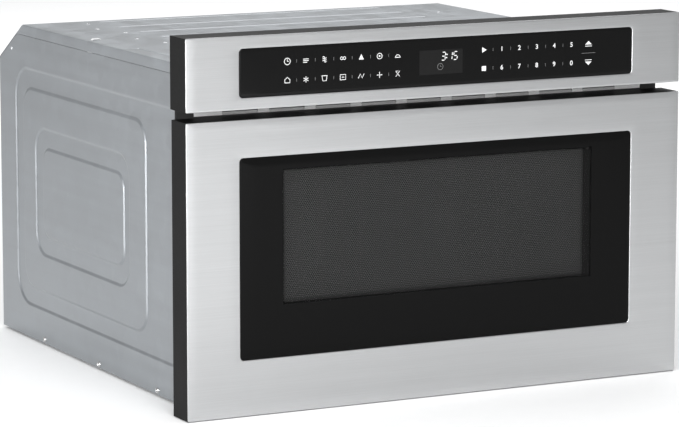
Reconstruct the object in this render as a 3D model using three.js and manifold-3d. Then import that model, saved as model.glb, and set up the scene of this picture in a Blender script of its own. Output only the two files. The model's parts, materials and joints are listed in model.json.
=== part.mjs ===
// A built-in microwave drawer of the 24-inch class, in millimetres.
// +X is to the right, +Y to the rear and +Z up. The origin is on the shelf, below the middle.
// Depths are given as distances behind the stainless front face.
import * as THREE from "three";
import { mergeVertices } from "three/addons/utils/BufferGeometryUtils.js";
import Module from "manifold-3d";

// Driving sizes. The rest follows from them by the margins and details below.
const frontWidth = 606;
const drawerFrontHeight = 318.8;
const controlHeight = 78.1;
const overallDepth = 591.6;

// Fronts
const shelfGap = 0.8; // below the drawer front
const panelGap = 10.7; // between the drawer front and the control panel
const controlDepth = 39.8;
const drawerFrontDepth = 37.1;
const skinSheet = 1.2;
const skinCorner = 1;
const skinBevel = 0.4;
const frameWall = 2.5;
const faceWall = 4.5; // the plastic wall behind the stainless faces
const seat = 0.3; // gap between pieces that touch
const fit = 0.4; // gap round a piece that drops into an opening
const postWidth = 8; // posts inside the plastic frames
const postSide = 85; // outer posts of the control housing to the front's side
const postCount = 6;
const postRows = 4;
const postEnd = 25; // first and last post of the drawer frame to its lower and upper edge

// Glass
const glassSide = 62.2; // side of the front to the glass
const glassThickness = 3.2;
const glassRecess = 0.2;
const glassCorner = 4;
const glassLedge = 8; // how far the ledge reaches under the glass
const glassBevel = 0.5;
const controlGlassRise = 13; // above the control panel's lower edge
const controlGlassDrop = 13.9; // below its upper edge
const drawerGlassRise = 61; // above the drawer front's lower edge
const drawerGlassDrop = 41.2;

// Display and control board
const displayWidth = 62;
const displayHeight = 34;
const displayWall = 3;
const displaySink = 1.5;
const boardFront = 14;
const boardSheet = 1.6;
const boardSide = 70; // side of the front to the board
const boardGap = 2; // board to the housing's top and bottom walls
// Parts on the board: share of its half width, then width, height and depth
const boardParts = [
  [-0.86, 30, 26, 12],
  [-0.64, 24, 20, 9],
  [-0.41, 16, 16, 15],
  [-0.13, 40, 30, 4],
  [0.26, 18, 28, 14],
  [0.41, 18, 28, 14],
  [0.64, 36, 18, 8],
  [0.87, 20, 30, 10],
];

// Case
const frontOverhang = 25.3; // the fronts beyond the case on each side
const bodyDrop = 34.8; // case top below the control panel's top
const skidHeight = 3;
const sheet = 0.8;
const chamferDepth = 73.3; // the sloped rear part of the top, along the depth
const chamferDrop = 44.6;
const coverBand = 12.1; // height of the top cover's side flanges
const coverGap = 0.4;
const joggle = 1.2; // step in the side panel's upper edge, under the cover's flange
const panFlange = 14;
const rearFlange = 16;
const rearInset = 1.1; // rear panel in front of the case's rear edge
const rearTopGap = 2.4; // rear panel below the slope's lower end
const cabinetGap = 3.3; // case side to the edge of the cabinet's cut-out

// Pressed fields of the side panels
const pressDepth = 1.5;
const pressSlope = 3.2;
const pressFront = 20.4; // from the panel's front edge
const pressRear = 48.1;
const pressTop = 36.6;
const pressBottom = 37.9;
const bandWidth = 25.6;
const bandFront = 103.4;
const landWidth = 40;
const landFront = 42.6;
const landRear = 34;
const innerBandFront = 18.2;
const pressCorner = 38;
const innerCorner = 30;

// Skid beads of the base pan and cross beads of the top cover
const beadWidth = 24;
const skidEdge = 61.6; // middle of the outer skid to the pan's side
const skidPitch = 105;
const skidMargin = 28;
const ribCount = 8;
const ribWidth = 13;
const ribEnd = 89.7; // end of a cross bead to the case side
const ribDepth = 2;
const ribFirst = 45.4; // first cross bead to the cover's front edge
const ribLast = 18.3; // last one to the start of the slope

// Air slots and cord recess of the rear panel
const ventRows = 3;
const ventColumns = 9;
const ventWidth = 5;
const ventHeight = 34;
const ventPitchX = 13;
const ventPitchZ = 46;
const ventEdge = 104.6; // middle of the slots to the panel's side
const ventRise = 197; // above the case's lower edge
const recessWidth = 70;
const recessHeight = 60;
const recessDepth = 18;
const recessSlope = 4;
const recessCorner = 8;
const recessEdge = 69.6; // middle of the recess to the panel's side
const recessRise = 87; // above the case's lower edge
const glandRadius = 11;
const glandBore = 4.6;
const glandCollar = 4;
const glandGrip = 12; // length of the clamping fingers inside
const glandWall = 2.4;
const glandBarb = 1.5;
const glandStep = 2;

// Front flange and vent strip
const flangeInset = 5.6; // side of the front to the flange
const flangeDrop = 6.4; // below the control panel's top
const flangeSheet = 1.2;
const flangeCorner = 2;
const openingCorner = 6;
const holeClear = 1.2; // round what passes through the flange
const padRise = 0.3;
const padWidth = 13;
const padFoot = 39;
const stripInset = 1.7; // case side to the strip's end
const stripSheet = 0.9;
const stripRise = 1.2; // strip's lower edge above the drawer front's top
const stripHeight = 12;
const stripEnd = 33; // end of the strip to its first slot
const stripRoom = 2; // housing's notch beyond the strip's ends
const stripNook = 3; // the same in front of the strip
const slotCount = 9;
const slotWidth = 42;
const slotHeight = 7;
const slotSill = 1.9;
const louvreDepth = 3.6;
const louvreRise = 2.5;
const ventMargin = 6;

// Cavity
const cavitySide = 55.7; // case side to the cavity
const cavityRise = 89; // above the case's lower edge
const cavityDrop = 31.6; // below the drawer front's top
const cavityLip = 9;
const rearRoom = 119.7; // cavity's rear to the rear panel
const pocketHalf = 105;
const pocketHeight = 18;
const pocketFront = 150; // from the front face
const lampSetback = 140; // lamp in front of the cavity's rear wall
const lampDrop = 46; // lowest lamp slot below the cavity roof
const lampSlots = 4;
const lampSlotLength = 30;
const lampSlotHeight = 3;
const lampSlotPitch = 7;
const lampLength = 48;
const lampHeight = 42;
const lampReach = 26;
const lampWall = 2;
const lampFoot = 8; // housing below its first slot
const bulbRadius = 8;
const bulbStart = 6; // cavity wall to the bulb's tip

// Stirrer
const stirrerCoverSheet = 1.7;
const stirrerCoverLap = 7;
const stirrerCoverCorner = 6;
const stirrerCoverBevel = 0.4;
const stirrerRadius = 90;
const stirrerArms = 4;
const armWidth = 26;
const armSheet = 1;
const armTilt = Math.PI / 18;
const stirrerHub = 8;
const stirrerHubHeight = 9;
const stirrerShaft = 3;
const shaftClear = 2; // round the shaft where it passes the cavity's roof
const stirrerGrip = 11; // how far the shaft reaches into its motor
const stirrerMotorRadius = 25;
const stirrerMotorHeight = 18;
const earWidth = 12;
const earReach = 1;
const earSheet = 1.2;
const terminalWidth = 18;
const terminalReach = 7;
const terminalInset = 3;

// Waveguide
const guideWidth = 88;
const guideHeight = 42;
const guideLeft = 30; // from the middle to the waveguide
const guideStart = 70; // its front end before the stirrer pocket's rear end
const guideEnd = 36.7; // its rear end to the rear panel
const guideWall = 1.2;
const guideFlange = 6;
const guideFlangeSheet = 1.5;
const portLength = 45;
const portMargin = 8;

// Magnetron and its fan
const magnetronWidth = 90;
const magnetronDepth = 76;
const magnetronHeight = 88;
const magnetronOverrun = 12; // its rear beyond the waveguide's end
const magnetronPlate = 2.4;
const magnetronWall = 1.6;
const finCount = 7;
const finSheet = 1.2;
const finPitch = 10;
const finSide = 6; // fins end short of the frame's sides
const coreRadius = 17;
const magnetRadius = 26;
const magnetHeight = 11;
const antennaRadius = 9;
const antennaHeight = 22;
const filterInset = 12;
const filterEnd = 6;
const filterHeight = 20;
const fanRadius = 40;
const fanBlades = 7;
const fanFrame = 92;
const fanDuct = 34;
const fanClear = 9; // magnetron to fan frame
const fanHub = 11;
const fanShaft = 2.5;
const fanPlate = 2;
const fanMount = 16; // radius of the motor's plate
const fanArm = 8;
const fanArms = 3;
const bladeStart = 4; // wheel inside the duct's front
const bladeEnd = 5; // wheel to the motor's arms
const bladeSheet = 1.4;
const bladeTwist = Math.PI / 5;
const bladeRoot = 3; // how far a blade is sunk in the hub
const bladeTip = 0.2;
const legInset = 8;
const legStart = 10;
const legSheet = 2;
const legGusset = 14;
const legFoot = 18;
const fanShaftOut = 12; // shaft beyond the duct, inside the motor
const fanCanRadius = 15;
const fanCanLength = 30;
const fanStack = 14;
const fanStackStart = 8;
const fanStackHalf = 24;
const fanStackTop = 18;
const fanStackFoot = 32;
const fanCoil = 22;
const fanCoilStart = 4;
const fanCoilHalf = 16;
const fanCoilTop = 26;
const fanCoilFoot = 42;

// High voltage parts
const transformerX = -97;
const transformerWidth = 105;
const transformerDepth = 84;
const transformerHeight = 88;
const yoke = 14;
const primaryHeight = 24;
const secondaryHeight = 32;
const secondaryInset = 2;
const windingCorner = 8;
const windingBevel = 1.5;
const footReach = 9;
const footSheet = 2;
const capacitorWidth = 50;
const capacitorDepth = 32;
const capacitorHeight = 96;
const capacitorCorner = 12.8;
const capacitorBevel = 1.2;
const strapSheet = 1.5;
const strapRise = 30;
const strapHeight = 18;
const tagSide = 10;
const tagWidth = 6;
const tagSheet = 1;
const tagLength = 10;

// Line filter board on the rear panel
const filterBoardWidth = 76;
const filterBoardHeight = 68;
const filterBoardRise = 130; // above the cord recess
const filterBoardShift = 6;
const studLength = 6;
const studRadius = 3;
const studInset = 5;
const filterCoilRadius = 15;
const filterCoilDepth = 20;
// Coil and boxes: place across, place up, width, height and depth
const filterCoilPlace = [-12, 8];
const filterBoxes = [
  [20, 11, 20, 26, 14],
  [17, -21, 30, 14, 10],
  [-19, -22, 22, 12, 12],
];

// Rails
const railHeight = 45.7;
const railSheet = 1.4;
const railRise = 79; // rail centre above the case's lower edge
const railStart = 44;
const railOverrun = 24; // rails beyond the cavity's rear wall
const bracketSheet = 1.6;
const bracketFoot = 9.2;
const bracketStart = 16; // bracket behind the rail's front end
const bracketEnd = 10; // bracket before its rear end
const bracketTop = 3;
const bracketWindows = 5;
const bracketWindow = 56;
const bracketWindowFoot = 12;
const bracketWindowTop = 8;
const bracketWindowCorner = 8;
const railLip = 2.6;
const railStop = 4;
const midHeight = 38;
const midWidth = 7.4;
const midClear = 0.8;
const midStart = 2;
const midEnd = 8;
const innerHeight = 30;
const innerWidth = 6.3;
const innerEnd = 10;
const innerTab = 14;
const innerTabSheet = 1.8;
const outerWidth = 10.6;
const railNest = 4.4; // step from one rail's web to the next

// Drive
const rackModule = 2;
const pinionTeeth = 14;
const driveModule = 1.5;
const drivenTeeth = 32;
const motorTeeth = 12;
const backlash = 0.36;
const rackWidth = 10;
const rackBody = 5.5;
const rackWeb = 3.6;
const rackPlate = 2;
const rackPlateLap = 3;
const rackSpare = 22; // rack beyond the pinion when the drawer is open
const shaftRise = 29; // shaft above the case's lower edge
const shaftDepth = 74; // shaft behind the front face
const shaftRadius = 4;
const shaftEnd = 2; // shaft's end to the rail bracket
const collarWall = 2.5;
const collarLength = 4;
const gearWidth = 9;
const motorGearSpare = 2; // the motor's gear is wider than the one it drives
const drivenSide = 45; // driven gear from the middle
const bearingWidth = 9;
const bearingEnd = 1.2;
const bearingWall = 5;
const bearingFoot = 20;
const bearingFootSheet = 3;
const motorRadius = 18;
const motorLength = 62;
const motorShaft = 3;
const motorShaftReach = 18;
const gearboxLength = 22;
const motorBore = 15;
const motorCap = 7;
const motorCapReach = 4;
const motorStep = 2; // can smaller and gearbox reaching over it
const brushSide = 9;
const brushSheet = 2;
const brushReach = 6;
const brushHeight = 6;
const plateSheet = 2;
const plateGap = 4; // driven gear to the motor's plate
const plateFront = 24;
const plateRear = 30;
const plateBase = 40;
const boreFit = 0.3;

// Drawer
const boxSide = 10; // cavity wall to the drawer box
const boxDrop = 60; // box rim below the cavity roof
const boxEnd = 14; // box to the cavity's rear wall when closed
const boxHold = 43.6; // length of the box that stays inside when open
const boxWall = 1.6;
const boxCorner = 14;
const boxLift = 6; // above the cavity floor
const boxRim = 3;
const sightSide = 8; // opening in the box behind the window
const sightFoot = 16;
const sightTop = 7;
const trayThickness = 5;
const trayGap = 2;
const trayBevel = 1;
const trayCornerStep = 3;
const trayRib = 2;
const trayRibWidth = 6;
const trayRibEnd = 12;
const trayRibShare = 0.32; // outer ribs from the middle, as a share of the box width

// Door
const doorSheet = 1.2;
const doorCorner = 2;
const chokeGap = 3; // cavity opening to choke channel
const chokeWidth = 18;
const chokeDepth = 19;
const chokeSheet = 1;
const chokeCorner = 10;
const chokeCoverSheet = 2.4;
const chokeCoverSink = 0.2;
const combPitch = 24;
const combSlot = 5;
const combCut = 2.8; // how far a slot cuts across the channel's inner wall
const combFoot = 5;
const combTop = 4;
const combEnd = 15;
const screenSheet = 0.8;
const screenFront = 10.2; // screen behind the front face
const screenGap = 1.5;
const screenCorner = 8;
const screenBevel = 0.6;
const windowSide = 46.8; // side of the glass to the door's window
const windowRise = 50.2; // above the glass's lower edge
const windowDrop = 6.4; // below its upper edge
const windowCorner = 8;

// Latch and switches
const hookEdge = 14.9; // middle of the latch hook to the case side
const hookRise = 199.2;
const hookSpread = 32;
const hookWidth = 16;
const hookSheet = 2;
const hookMargin = 9;
const prongWidth = 5;
const prongHeight = 8;
const prongLength = 34.6;
const prongNose = 4;
const prongStep = 2.5;
const prongBarb = 8;
const prongBack = 10;
const switchWidth = 10.3;
const switchHeight = 27.8;
const switchDepth = 15.9;
const switchCorner = 1;
const switchTagPitch = 8;
const switchTagLength = 6;
const switchBracketSheet = 1.2;
const switchBracketMargin = 6;
const switchBracketEnd = 8;
const switchBracketEar = 9;
const prongClear = 1.6;
const plungerRadius = 1.6;
const plungerStand = 2.7;
const plungerLength = 8;
const plungerTravel = 2;

// Facets
const cornerSteps = 4;
const roundSteps = 20;
const smallSteps = 12;
const largeSteps = 32;
const weld = 1e-4;
const leastRadius = 0.05;
const over = 1; // how far a cutter runs past what it cuts
const beyond = 2 * overallDepth; // past every side of the object

// Levels and planes worked out from the sizes above
const frontY = -overallDepth / 2;
const at = (depth) => frontY + depth;
const frontHalf = frontWidth / 2;
const bodyHalf = frontHalf - frontOverhang;
const glassWidth = frontWidth - 2 * glassSide;
const drawerBottom = shelfGap;
const drawerTop = drawerBottom + drawerFrontHeight;
const controlBottom = drawerTop + panelGap;
const controlTop = controlBottom + controlHeight;
const controlGlassLow = controlBottom + controlGlassRise;
const controlGlassHigh = controlTop - controlGlassDrop;
const drawerGlassLow = drawerBottom + drawerGlassRise;
const drawerGlassHigh = drawerTop - drawerGlassDrop;
const faceBack = skinSheet + seat + faceWall;
const bodyBottom = skidHeight;
const bodyTop = controlTop - bodyDrop;
const floorTop = bodyBottom + sheet;
const foot = floorTop + seat;
const flangeFront = controlDepth + seat;
const flangeBack = flangeFront + flangeSheet;
const bodyFront = flangeBack + seat;
const chamferStart = overallDepth - chamferDepth;
const chamferLow = bodyTop - chamferDrop;
const chamferRate = chamferDrop / chamferDepth;
const sideTop = bodyTop - coverBand - coverGap;
const panHalf = bodyHalf - sheet - seat;
const rearPanelBack = overallDepth - rearInset;
const rearPanelFront = rearPanelBack - sheet;
const recessFloor = rearPanelBack - recessDepth;
const recessX = recessEdge - panHalf;
const recessZ = bodyBottom + recessRise;
const stripHalf = bodyHalf - stripInset;
const stripLow = drawerTop + stripRise;
const slotPitch = (2 * stripHalf - slotWidth - 2 * stripEnd) / (slotCount - 1);
const cavityHalf = bodyHalf - cavitySide;
const cavityBottom = bodyBottom + cavityRise;
const cavityTop = drawerTop - cavityDrop;
const cavityBack = rearPanelFront - rearRoom;
const pocketTop = cavityTop + pocketHeight;
const pocketBack = pocketFront + 2 * pocketHalf;
const stirrerDepth = pocketFront + pocketHalf;
const roofTop = pocketTop + sheet + seat;
const lampDepth = cavityBack - lampSetback;
const lampSlotLow = cavityTop - lampDrop;
const guideFront = pocketBack - guideStart;
const guideBack = rearPanelFront - guideEnd;
const guideRight = guideLeft + guideWidth;
const magnetronX = guideLeft + guideWidth / 2;
const magnetronMiddle = guideBack + magnetronOverrun - magnetronDepth / 2;
const fanX = magnetronX + magnetronWidth / 2 + fanClear;
const fanZ = roofTop - seat - magnetronHeight / 2;
const transformerMiddle = (cavityBack + recessFloor) / 2;
const railZ = bodyBottom + railRise;
const railEnd = cavityBack + railOverrun;
const bracketOuter = panHalf - sheet - seat;
const bracketFace = bracketOuter - bracketFoot;
const outerFace = bracketFace - seat;
const midFace = outerFace - railSheet - midClear;
const innerWeb = outerFace - 3 * railNest;
const rackOuter = innerWeb - seat;
const rackInner = rackOuter - rackWeb;
const rackMiddle = rackInner - rackWidth / 2;
const shaftZ = bodyBottom + shaftRise;
const pinionRadius = (rackModule * pinionTeeth) / 2;
const drivenRadius = (driveModule * drivenTeeth) / 2;
const motorGearRadius = (driveModule * motorTeeth) / 2;
const pitchLine = shaftZ + pinionRadius;
const motorDepth = shaftDepth + drivenRadius + motorGearRadius;
const motorPlateX = drivenSide + gearWidth / 2 + plateGap;
const doorBack = drawerFrontDepth;
const doorFront = doorBack - doorSheet;
const boxFront = doorBack + seat;
const boxBack = cavityBack - boxEnd;
const boxBottom = cavityBottom + boxLift;
const boxTop = cavityTop - boxDrop;
const boxHalf = cavityHalf - boxSide;
const boxFloor = boxBottom + boxWall;
const travel = boxBack - boxFront - boxHold;
const rackEnd = shaftDepth + travel + rackSpare;
const chokeInner = cavityHalf + chokeGap;
const chokeOuter = chokeInner + chokeWidth;
const chokeBottom = doorBack - chokeDepth;
const windowHalf = glassWidth / 2 - windowSide;
const windowLow = drawerGlassLow + windowRise;
const windowHigh = drawerGlassHigh - windowDrop;
const hookX = bodyHalf - hookEdge;
const hookZ = drawerBottom + hookRise;
const prongLevels = [hookZ - hookSpread / 2, hookZ + hookSpread / 2];
const prongTip = boxFront + prongLength;
const plungerTip = prongTip + seat;
const switchFront = plungerTip + plungerStand;
const switchFace = hookX + switchWidth / 2;

const wasm = await Module();
wasm.setup();

const sides = [-1, 1];
const around = (middle, size) => [middle - size / 2, middle + size / 2];
const ordered = (a, b) => (a < b ? [a, b] : [b, a]);
const evenly = (count, half) =>
  Array.from({ length: count }, (_, i) => half * ((2 * i) / (count - 1) - 1));

// A closed three.js geometry as a solid that can be joined and cut.
function toSolid(geometry) {
  const loose = geometry.index ? geometry.toNonIndexed() : geometry;
  const bare = new THREE.BufferGeometry();
  bare.setAttribute("position", loose.getAttribute("position"));
  const merged = mergeVertices(bare, weld);
  return new wasm.Manifold(
    new wasm.Mesh({
      numProp: 3,
      vertProperties: merged.attributes.position.array,
      triVerts: new Uint32Array(merged.index.array),
    }),
  );
}

function toGeometry(solid) {
  const mesh = solid.getMesh();
  const geometry = new THREE.BufferGeometry();
  geometry.setAttribute("position", new THREE.BufferAttribute(mesh.vertProperties.slice(), 3));
  geometry.setIndex(new THREE.BufferAttribute(mesh.triVerts.slice(), 1));
  geometry.computeVertexNormals();
  return geometry;
}

function block(x0, x1, y0, y1, z0, z1) {
  const box = new THREE.BoxGeometry();
  const corners = box.attributes.position;
  for (let i = 0; i < corners.count; i += 1) {
    const x = corners.getX(i) < 0 ? x0 : x1;
    const y = corners.getY(i) < 0 ? y0 : y1;
    const z = corners.getZ(i) < 0 ? z0 : z1;
    corners.setXYZ(i, x, y, z);
  }
  return toSolid(box);
}

const wide = (half, y0, y1, z0, z1) => block(-half, half, y0, y1, z0, z1);
const join = (solids) => solids.reduce((whole, piece) => whole.add(piece));
const cut = (solid, cutters) => cutters.reduce((rest, piece) => rest.subtract(piece), solid);

// Outlines lie in X and Z for a front piece, in Y and Z for a side piece and in X and Y for a level one.
const across = new THREE.Vector3(1, 0, 0);
const rearward = new THREE.Vector3(0, 1, 0);
const upward = new THREE.Vector3(0, 0, 1);
const planes = {
  front: new THREE.Matrix4().makeBasis(across, upward, rearward.clone().negate()),
  side: new THREE.Matrix4().makeBasis(rearward, upward, across),
  level: new THREE.Matrix4(),
};

function slideInPlane(geometry, plane, low, high) {
  const start = plane === "front" ? -high : low;
  geometry.translate(0, 0, start);
  geometry.applyMatrix4(planes[plane]);
  return geometry;
}

// A flat outline carried from low to high along the plane's normal, its edges bevelled.
function extrude(plane, outline, low, high, bevel = 0, holes = []) {
  const shape = new THREE.Shape(outline);
  shape.holes = holes.map((hole) => new THREE.Path(hole));
  const geometry = new THREE.ExtrudeGeometry(shape, {
    depth: high - low - 2 * bevel,
    bevelEnabled: bevel > 0,
    bevelThickness: bevel,
    bevelSize: bevel,
    bevelOffset: -bevel,
    bevelSegments: 1,
  });
  geometry.translate(0, 0, bevel);
  return toSolid(slideInPlane(geometry, plane, low, high));
}

// A side piece's outline from pairs of depth and height.
const sideways = (pairs) => pairs.map(([depth, z]) => new THREE.Vector2(at(depth), z));

// A rectangle with rounded corners, anticlockwise.
function roundedRect(a0, a1, b0, b1, radius) {
  const most = Math.min(radius, (a1 - a0) / 2 - leastRadius, (b1 - b0) / 2 - leastRadius);
  const r = Math.max(leastRadius, most);
  const centres = [
    [a1 - r, b0 + r, -0.5],
    [a1 - r, b1 - r, 0],
    [a0 + r, b1 - r, 0.5],
    [a0 + r, b0 + r, 1],
  ];
  return centres.flatMap(([a, b, turn]) =>
    Array.from({ length: cornerSteps + 1 }, (_, i) => {
      const angle = Math.PI * (turn + (0.5 * i) / cornerSteps);
      return new THREE.Vector2(a + r * Math.cos(angle), b + r * Math.sin(angle));
    }),
  );
}

// A rounded rectangle that can grow by the same distance on every side.
const growing = ([a0, a1, b0, b1], radius) => (grow) =>
  roundedRect(a0 - grow, a1 + grow, b0 - grow, b1 + grow, radius + grow);

// A solid between two outlines with as many points, at low and at high along the plane's normal.
function tapered(plane, lowOutline, low, highOutline, high) {
  const [bottom, top] = plane === "front" ? [highOutline, lowOutline] : [lowOutline, highOutline];
  const rise = high - low;
  const count = bottom.length;
  const points = [...bottom.map((p) => [p.x, p.y, 0]), ...top.map((p) => [p.x, p.y, rise])];
  const faces = [];
  for (let i = 0; i < count; i += 1) {
    const next = (i + 1) % count;
    faces.push([i, next, count + next], [i, count + next, count + i]);
  }
  THREE.ShapeUtils.triangulateShape(bottom, []).forEach(([a, b, c]) => faces.push([a, c, b]));
  THREE.ShapeUtils.triangulateShape(top, []).forEach(([a, b, c]) =>
    faces.push([count + a, count + b, count + c]),
  );
  const geometry = new THREE.BufferGeometry();
  geometry.setAttribute("position", new THREE.Float32BufferAttribute(points.flat(), 3));
  geometry.setIndex(faces.flat());
  return toSolid(slideInPlane(geometry, plane, low, high));
}

// One side of a pressing: its outline is right at the face and draws in by slope over depth.
function die(plane, face, inward, outline, grow, depth, slope, reach) {
  const rate = slope / depth;
  const near = face - inward * over;
  const far = face + inward * reach;
  const nearOutline = outline(grow + rate * over);
  const farOutline = outline(grow - rate * reach);
  return inward > 0
    ? tapered(plane, nearOutline, near, farOutline, far)
    : tapered(plane, farOutline, far, nearOutline, near);
}

// Presses a field into a sheet, which keeps its thickness. An island inside the field stays raised.
function press(solid, plane, face, inward, field, depth, slope, thickness, island) {
  let skin = die(plane, face, inward, field, thickness, depth, slope, depth + thickness);
  let hollow = die(plane, face, inward, field, 0, depth, slope, depth);
  if (island) {
    const reach = depth + thickness + over;
    skin = skin.subtract(die(plane, face, inward, island, -thickness, depth, -slope, reach));
    hollow = hollow.subtract(die(plane, face, inward, island, 0, depth, -slope, depth + over));
  }
  const open = ordered(face, face - inward * (2 * over));
  const outside = {
    front: wide(beyond, ...open, -beyond, beyond),
    side: block(...open, -beyond, beyond, -beyond, beyond),
    level: wide(beyond, -beyond, beyond, ...open),
  }[plane];
  return solid.add(skin.subtract(outside)).subtract(hollow);
}

// A round bar or disc from low to high along x, y or z, about a centre given by its other two places.
function round(axis, radius, low, high, a, b, steps = roundSteps) {
  const bar = new THREE.CylinderGeometry(radius, radius, high - low, steps);
  const middle = (low + high) / 2;
  if (axis === "x") bar.rotateZ(-Math.PI / 2).translate(middle, a, b);
  if (axis === "y") bar.translate(a, middle, b);
  if (axis === "z") bar.rotateX(Math.PI / 2).translate(a, b, middle);
  return toSolid(bar);
}

// A turned piece about Z: its profile of radius and height pairs is closed.
function turned(profile, steps = roundSteps) {
  const points = profile.map(([radius, height]) => new THREE.Vector2(radius, height));
  return toSolid(new THREE.LatheGeometry(points, steps).rotateX(Math.PI / 2));
}

// Tooth sizes of a stub gear form with a pressure angle of 20 degrees
const pressure = Math.PI / 9;
const involute = (angle) => Math.tan(angle) - angle;
const addendum = 0.8;
const dedendum = 1.05;
const flankSteps = 3;
const rackTip = pitchLine - addendum * rackModule;
const rackRoot = pitchLine + dedendum * rackModule;

// An involute spur gear's outline, with a tooth at angle start.
function gearOutline(module, teeth, start) {
  const pitch = (module * teeth) / 2;
  const base = pitch * Math.cos(pressure);
  const tip = pitch + addendum * module;
  const root = pitch - dedendum * module;
  const halfTooth = Math.PI / (2 * teeth) - backlash / (4 * pitch);
  const flankStart = Math.max(base, root);
  const halfAngle = (radius) =>
    halfTooth + involute(pressure) - involute(Math.acos(Math.min(1, base / radius)));
  const flank = Array.from({ length: flankSteps }, (_, i) => {
    const radius = flankStart + ((tip - flankStart) * i) / (flankSteps - 1);
    return [radius, halfAngle(radius)];
  });
  const side = [[root, halfAngle(flankStart)], ...flank];
  const outline = [];
  for (let tooth = 0; tooth < teeth; tooth += 1) {
    const middle = start + (2 * Math.PI * tooth) / teeth;
    side.forEach(([r, a]) => outline.push([r, middle - a]));
    [...side].reverse().forEach(([r, a]) => outline.push([r, middle + a]));
  }
  return outline.map(([r, a]) => new THREE.Vector2(r * Math.cos(a), r * Math.sin(a)));
}

// A spur gear about the X axis. Angles run from +Y towards +Z.
function gear(module, teeth, start, width, bore) {
  const holes = bore ? [roundedRect(-bore, bore, -bore, bore, bore)] : [];
  return extrude("side", gearOutline(module, teeth, start), -width / 2, width / 2, 0, holes);
}

// The rack's teeth point down. A gap is centred over the pinion.
function rackTeeth(first, last) {
  const pitch = Math.PI * rackModule;
  const halfPitch = (pitch - backlash) / 4;
  const tipHalf = halfPitch - addendum * rackModule * Math.tan(pressure);
  const rootHalf = halfPitch + dedendum * rackModule * Math.tan(pressure);
  const outline = [
    [last, rackRoot + rackBody],
    [first, rackRoot + rackBody],
    [first, rackRoot],
  ];
  const count = Math.floor((last - first) / pitch) - 2;
  const offset = Math.ceil((first + pitch - shaftDepth) / pitch - 0.5) + 0.5;
  for (let i = 0; i < count; i += 1) {
    const middle = shaftDepth + (offset + i) * pitch;
    outline.push(
      [middle - rootHalf, rackRoot],
      [middle - tipHalf, rackTip],
      [middle + tipHalf, rackTip],
      [middle + rootHalf, rackRoot],
    );
  }
  outline.push([last, rackRoot]);
  return extrude("side", sideways(outline), rackInner - rackWidth, rackOuter);
}

// ---- Case ----

function basePan() {
  const back = rearPanelFront - seat;
  const top = bodyBottom + panFlange;
  const inside = [at(bodyFront + sheet), at(back - sheet)];
  const tray = wide(panHalf, at(bodyFront), at(back), bodyBottom, top).subtract(
    wide(panHalf - sheet, ...inside, floorTop, top + over),
  );
  const outer = panHalf - skidEdge;
  const skids = sides.flatMap((side) => [side * outer, side * (outer - skidPitch)]);
  const run = [at(bodyFront + skidMargin), at(back - skidMargin)];
  return skids.reduce((pan, x) => {
    const bead = growing([...around(x, beadWidth), ...run], beadWidth / 2);
    return press(pan, "level", floorTop, -1, bead, skidHeight, skidHeight, sheet);
  }, tray);
}

const within = ([a0, a1, b0, b1], front, rear, rise) => [a0 + front, a1 - rear, b0 + rise, b1 - rise];

// The right-hand side panel; the left is its mirror image.
function sidePanel() {
  const rearTop = chamferLow - (sheet + seat) * Math.hypot(1, chamferRate);
  const slopeEnd = overallDepth - (sideTop - rearTop) / chamferRate;
  const outline = sideways([
    [bodyFront, bodyBottom],
    [overallDepth, bodyBottom],
    [overallDepth, rearTop],
    [slopeEnd, sideTop],
    [bodyFront, sideTop],
  ]);
  const lip = [at(bodyFront), at(chamferStart - seat)];
  const lipLow = sideTop - joggle;
  const panel = join([
    extrude("side", outline, bodyHalf - sheet, bodyHalf),
    block(bodyHalf - rearFlange, bodyHalf, at(overallDepth - sheet), at(overallDepth), bodyBottom, rearTop),
    block(panHalf - sheet, bodyHalf, ...lip, lipLow, sideTop),
    block(panHalf - sheet, panHalf, ...lip, lipLow, bodyTop - sheet - seat),
  ]);
  const outerField = [
    at(bodyFront + pressFront),
    at(overallDepth - pressRear),
    bodyBottom + pressBottom,
    sideTop - pressTop,
  ];
  const outerIsland = within(outerField, bandFront, bandWidth, bandWidth);
  const innerField = within(outerIsland, landFront, landRear, landWidth);
  const innerIsland = within(innerField, innerBandFront, bandWidth, bandWidth);
  const turn = bandWidth / 2;
  const pressings = [
    [growing(outerField, pressCorner), growing(outerIsland, pressCorner - turn)],
    [growing(innerField, innerCorner), growing(innerIsland, innerCorner - turn)],
  ];
  return pressings.reduce(
    (solid, [field, island]) =>
      press(solid, "side", bodyHalf, -1, field, pressDepth, pressSlope, sheet, island),
    panel,
  );
}

function topCover() {
  const slopeSheet = sheet * Math.hypot(1, chamferRate);
  const underEdge = chamferStart + (sheet - slopeSheet) / chamferRate;
  const section = sideways([
    [bodyFront, bodyTop - sheet],
    [underEdge, bodyTop - sheet],
    [overallDepth, chamferLow - slopeSheet],
    [overallDepth, chamferLow],
    [chamferStart, bodyTop],
    [bodyFront, bodyTop],
  ]);
  const band = sideways([
    [bodyFront, bodyTop - coverBand],
    [chamferStart + coverBand / chamferRate, bodyTop - coverBand],
    [chamferStart, bodyTop],
    [bodyFront, bodyTop],
  ]);
  const cover = join([
    extrude("side", section, -bodyHalf, bodyHalf),
    extrude("side", band, bodyHalf - sheet, bodyHalf),
    extrude("side", band, -bodyHalf, -bodyHalf + sheet),
  ]);
  const first = bodyFront + ribFirst;
  const last = chamferStart - ribLast;
  const ribHalf = bodyHalf - ribEnd;
  return evenly(ribCount, (last - first) / 2).reduce((whole, shift) => {
    const y = at((first + last) / 2 + shift);
    const bead = growing([-ribHalf, ribHalf, ...around(y, ribWidth)], ribWidth / 2);
    return press(whole, "level", bodyTop, -1, bead, ribDepth, ribDepth, sheet);
  }, cover);
}

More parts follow.
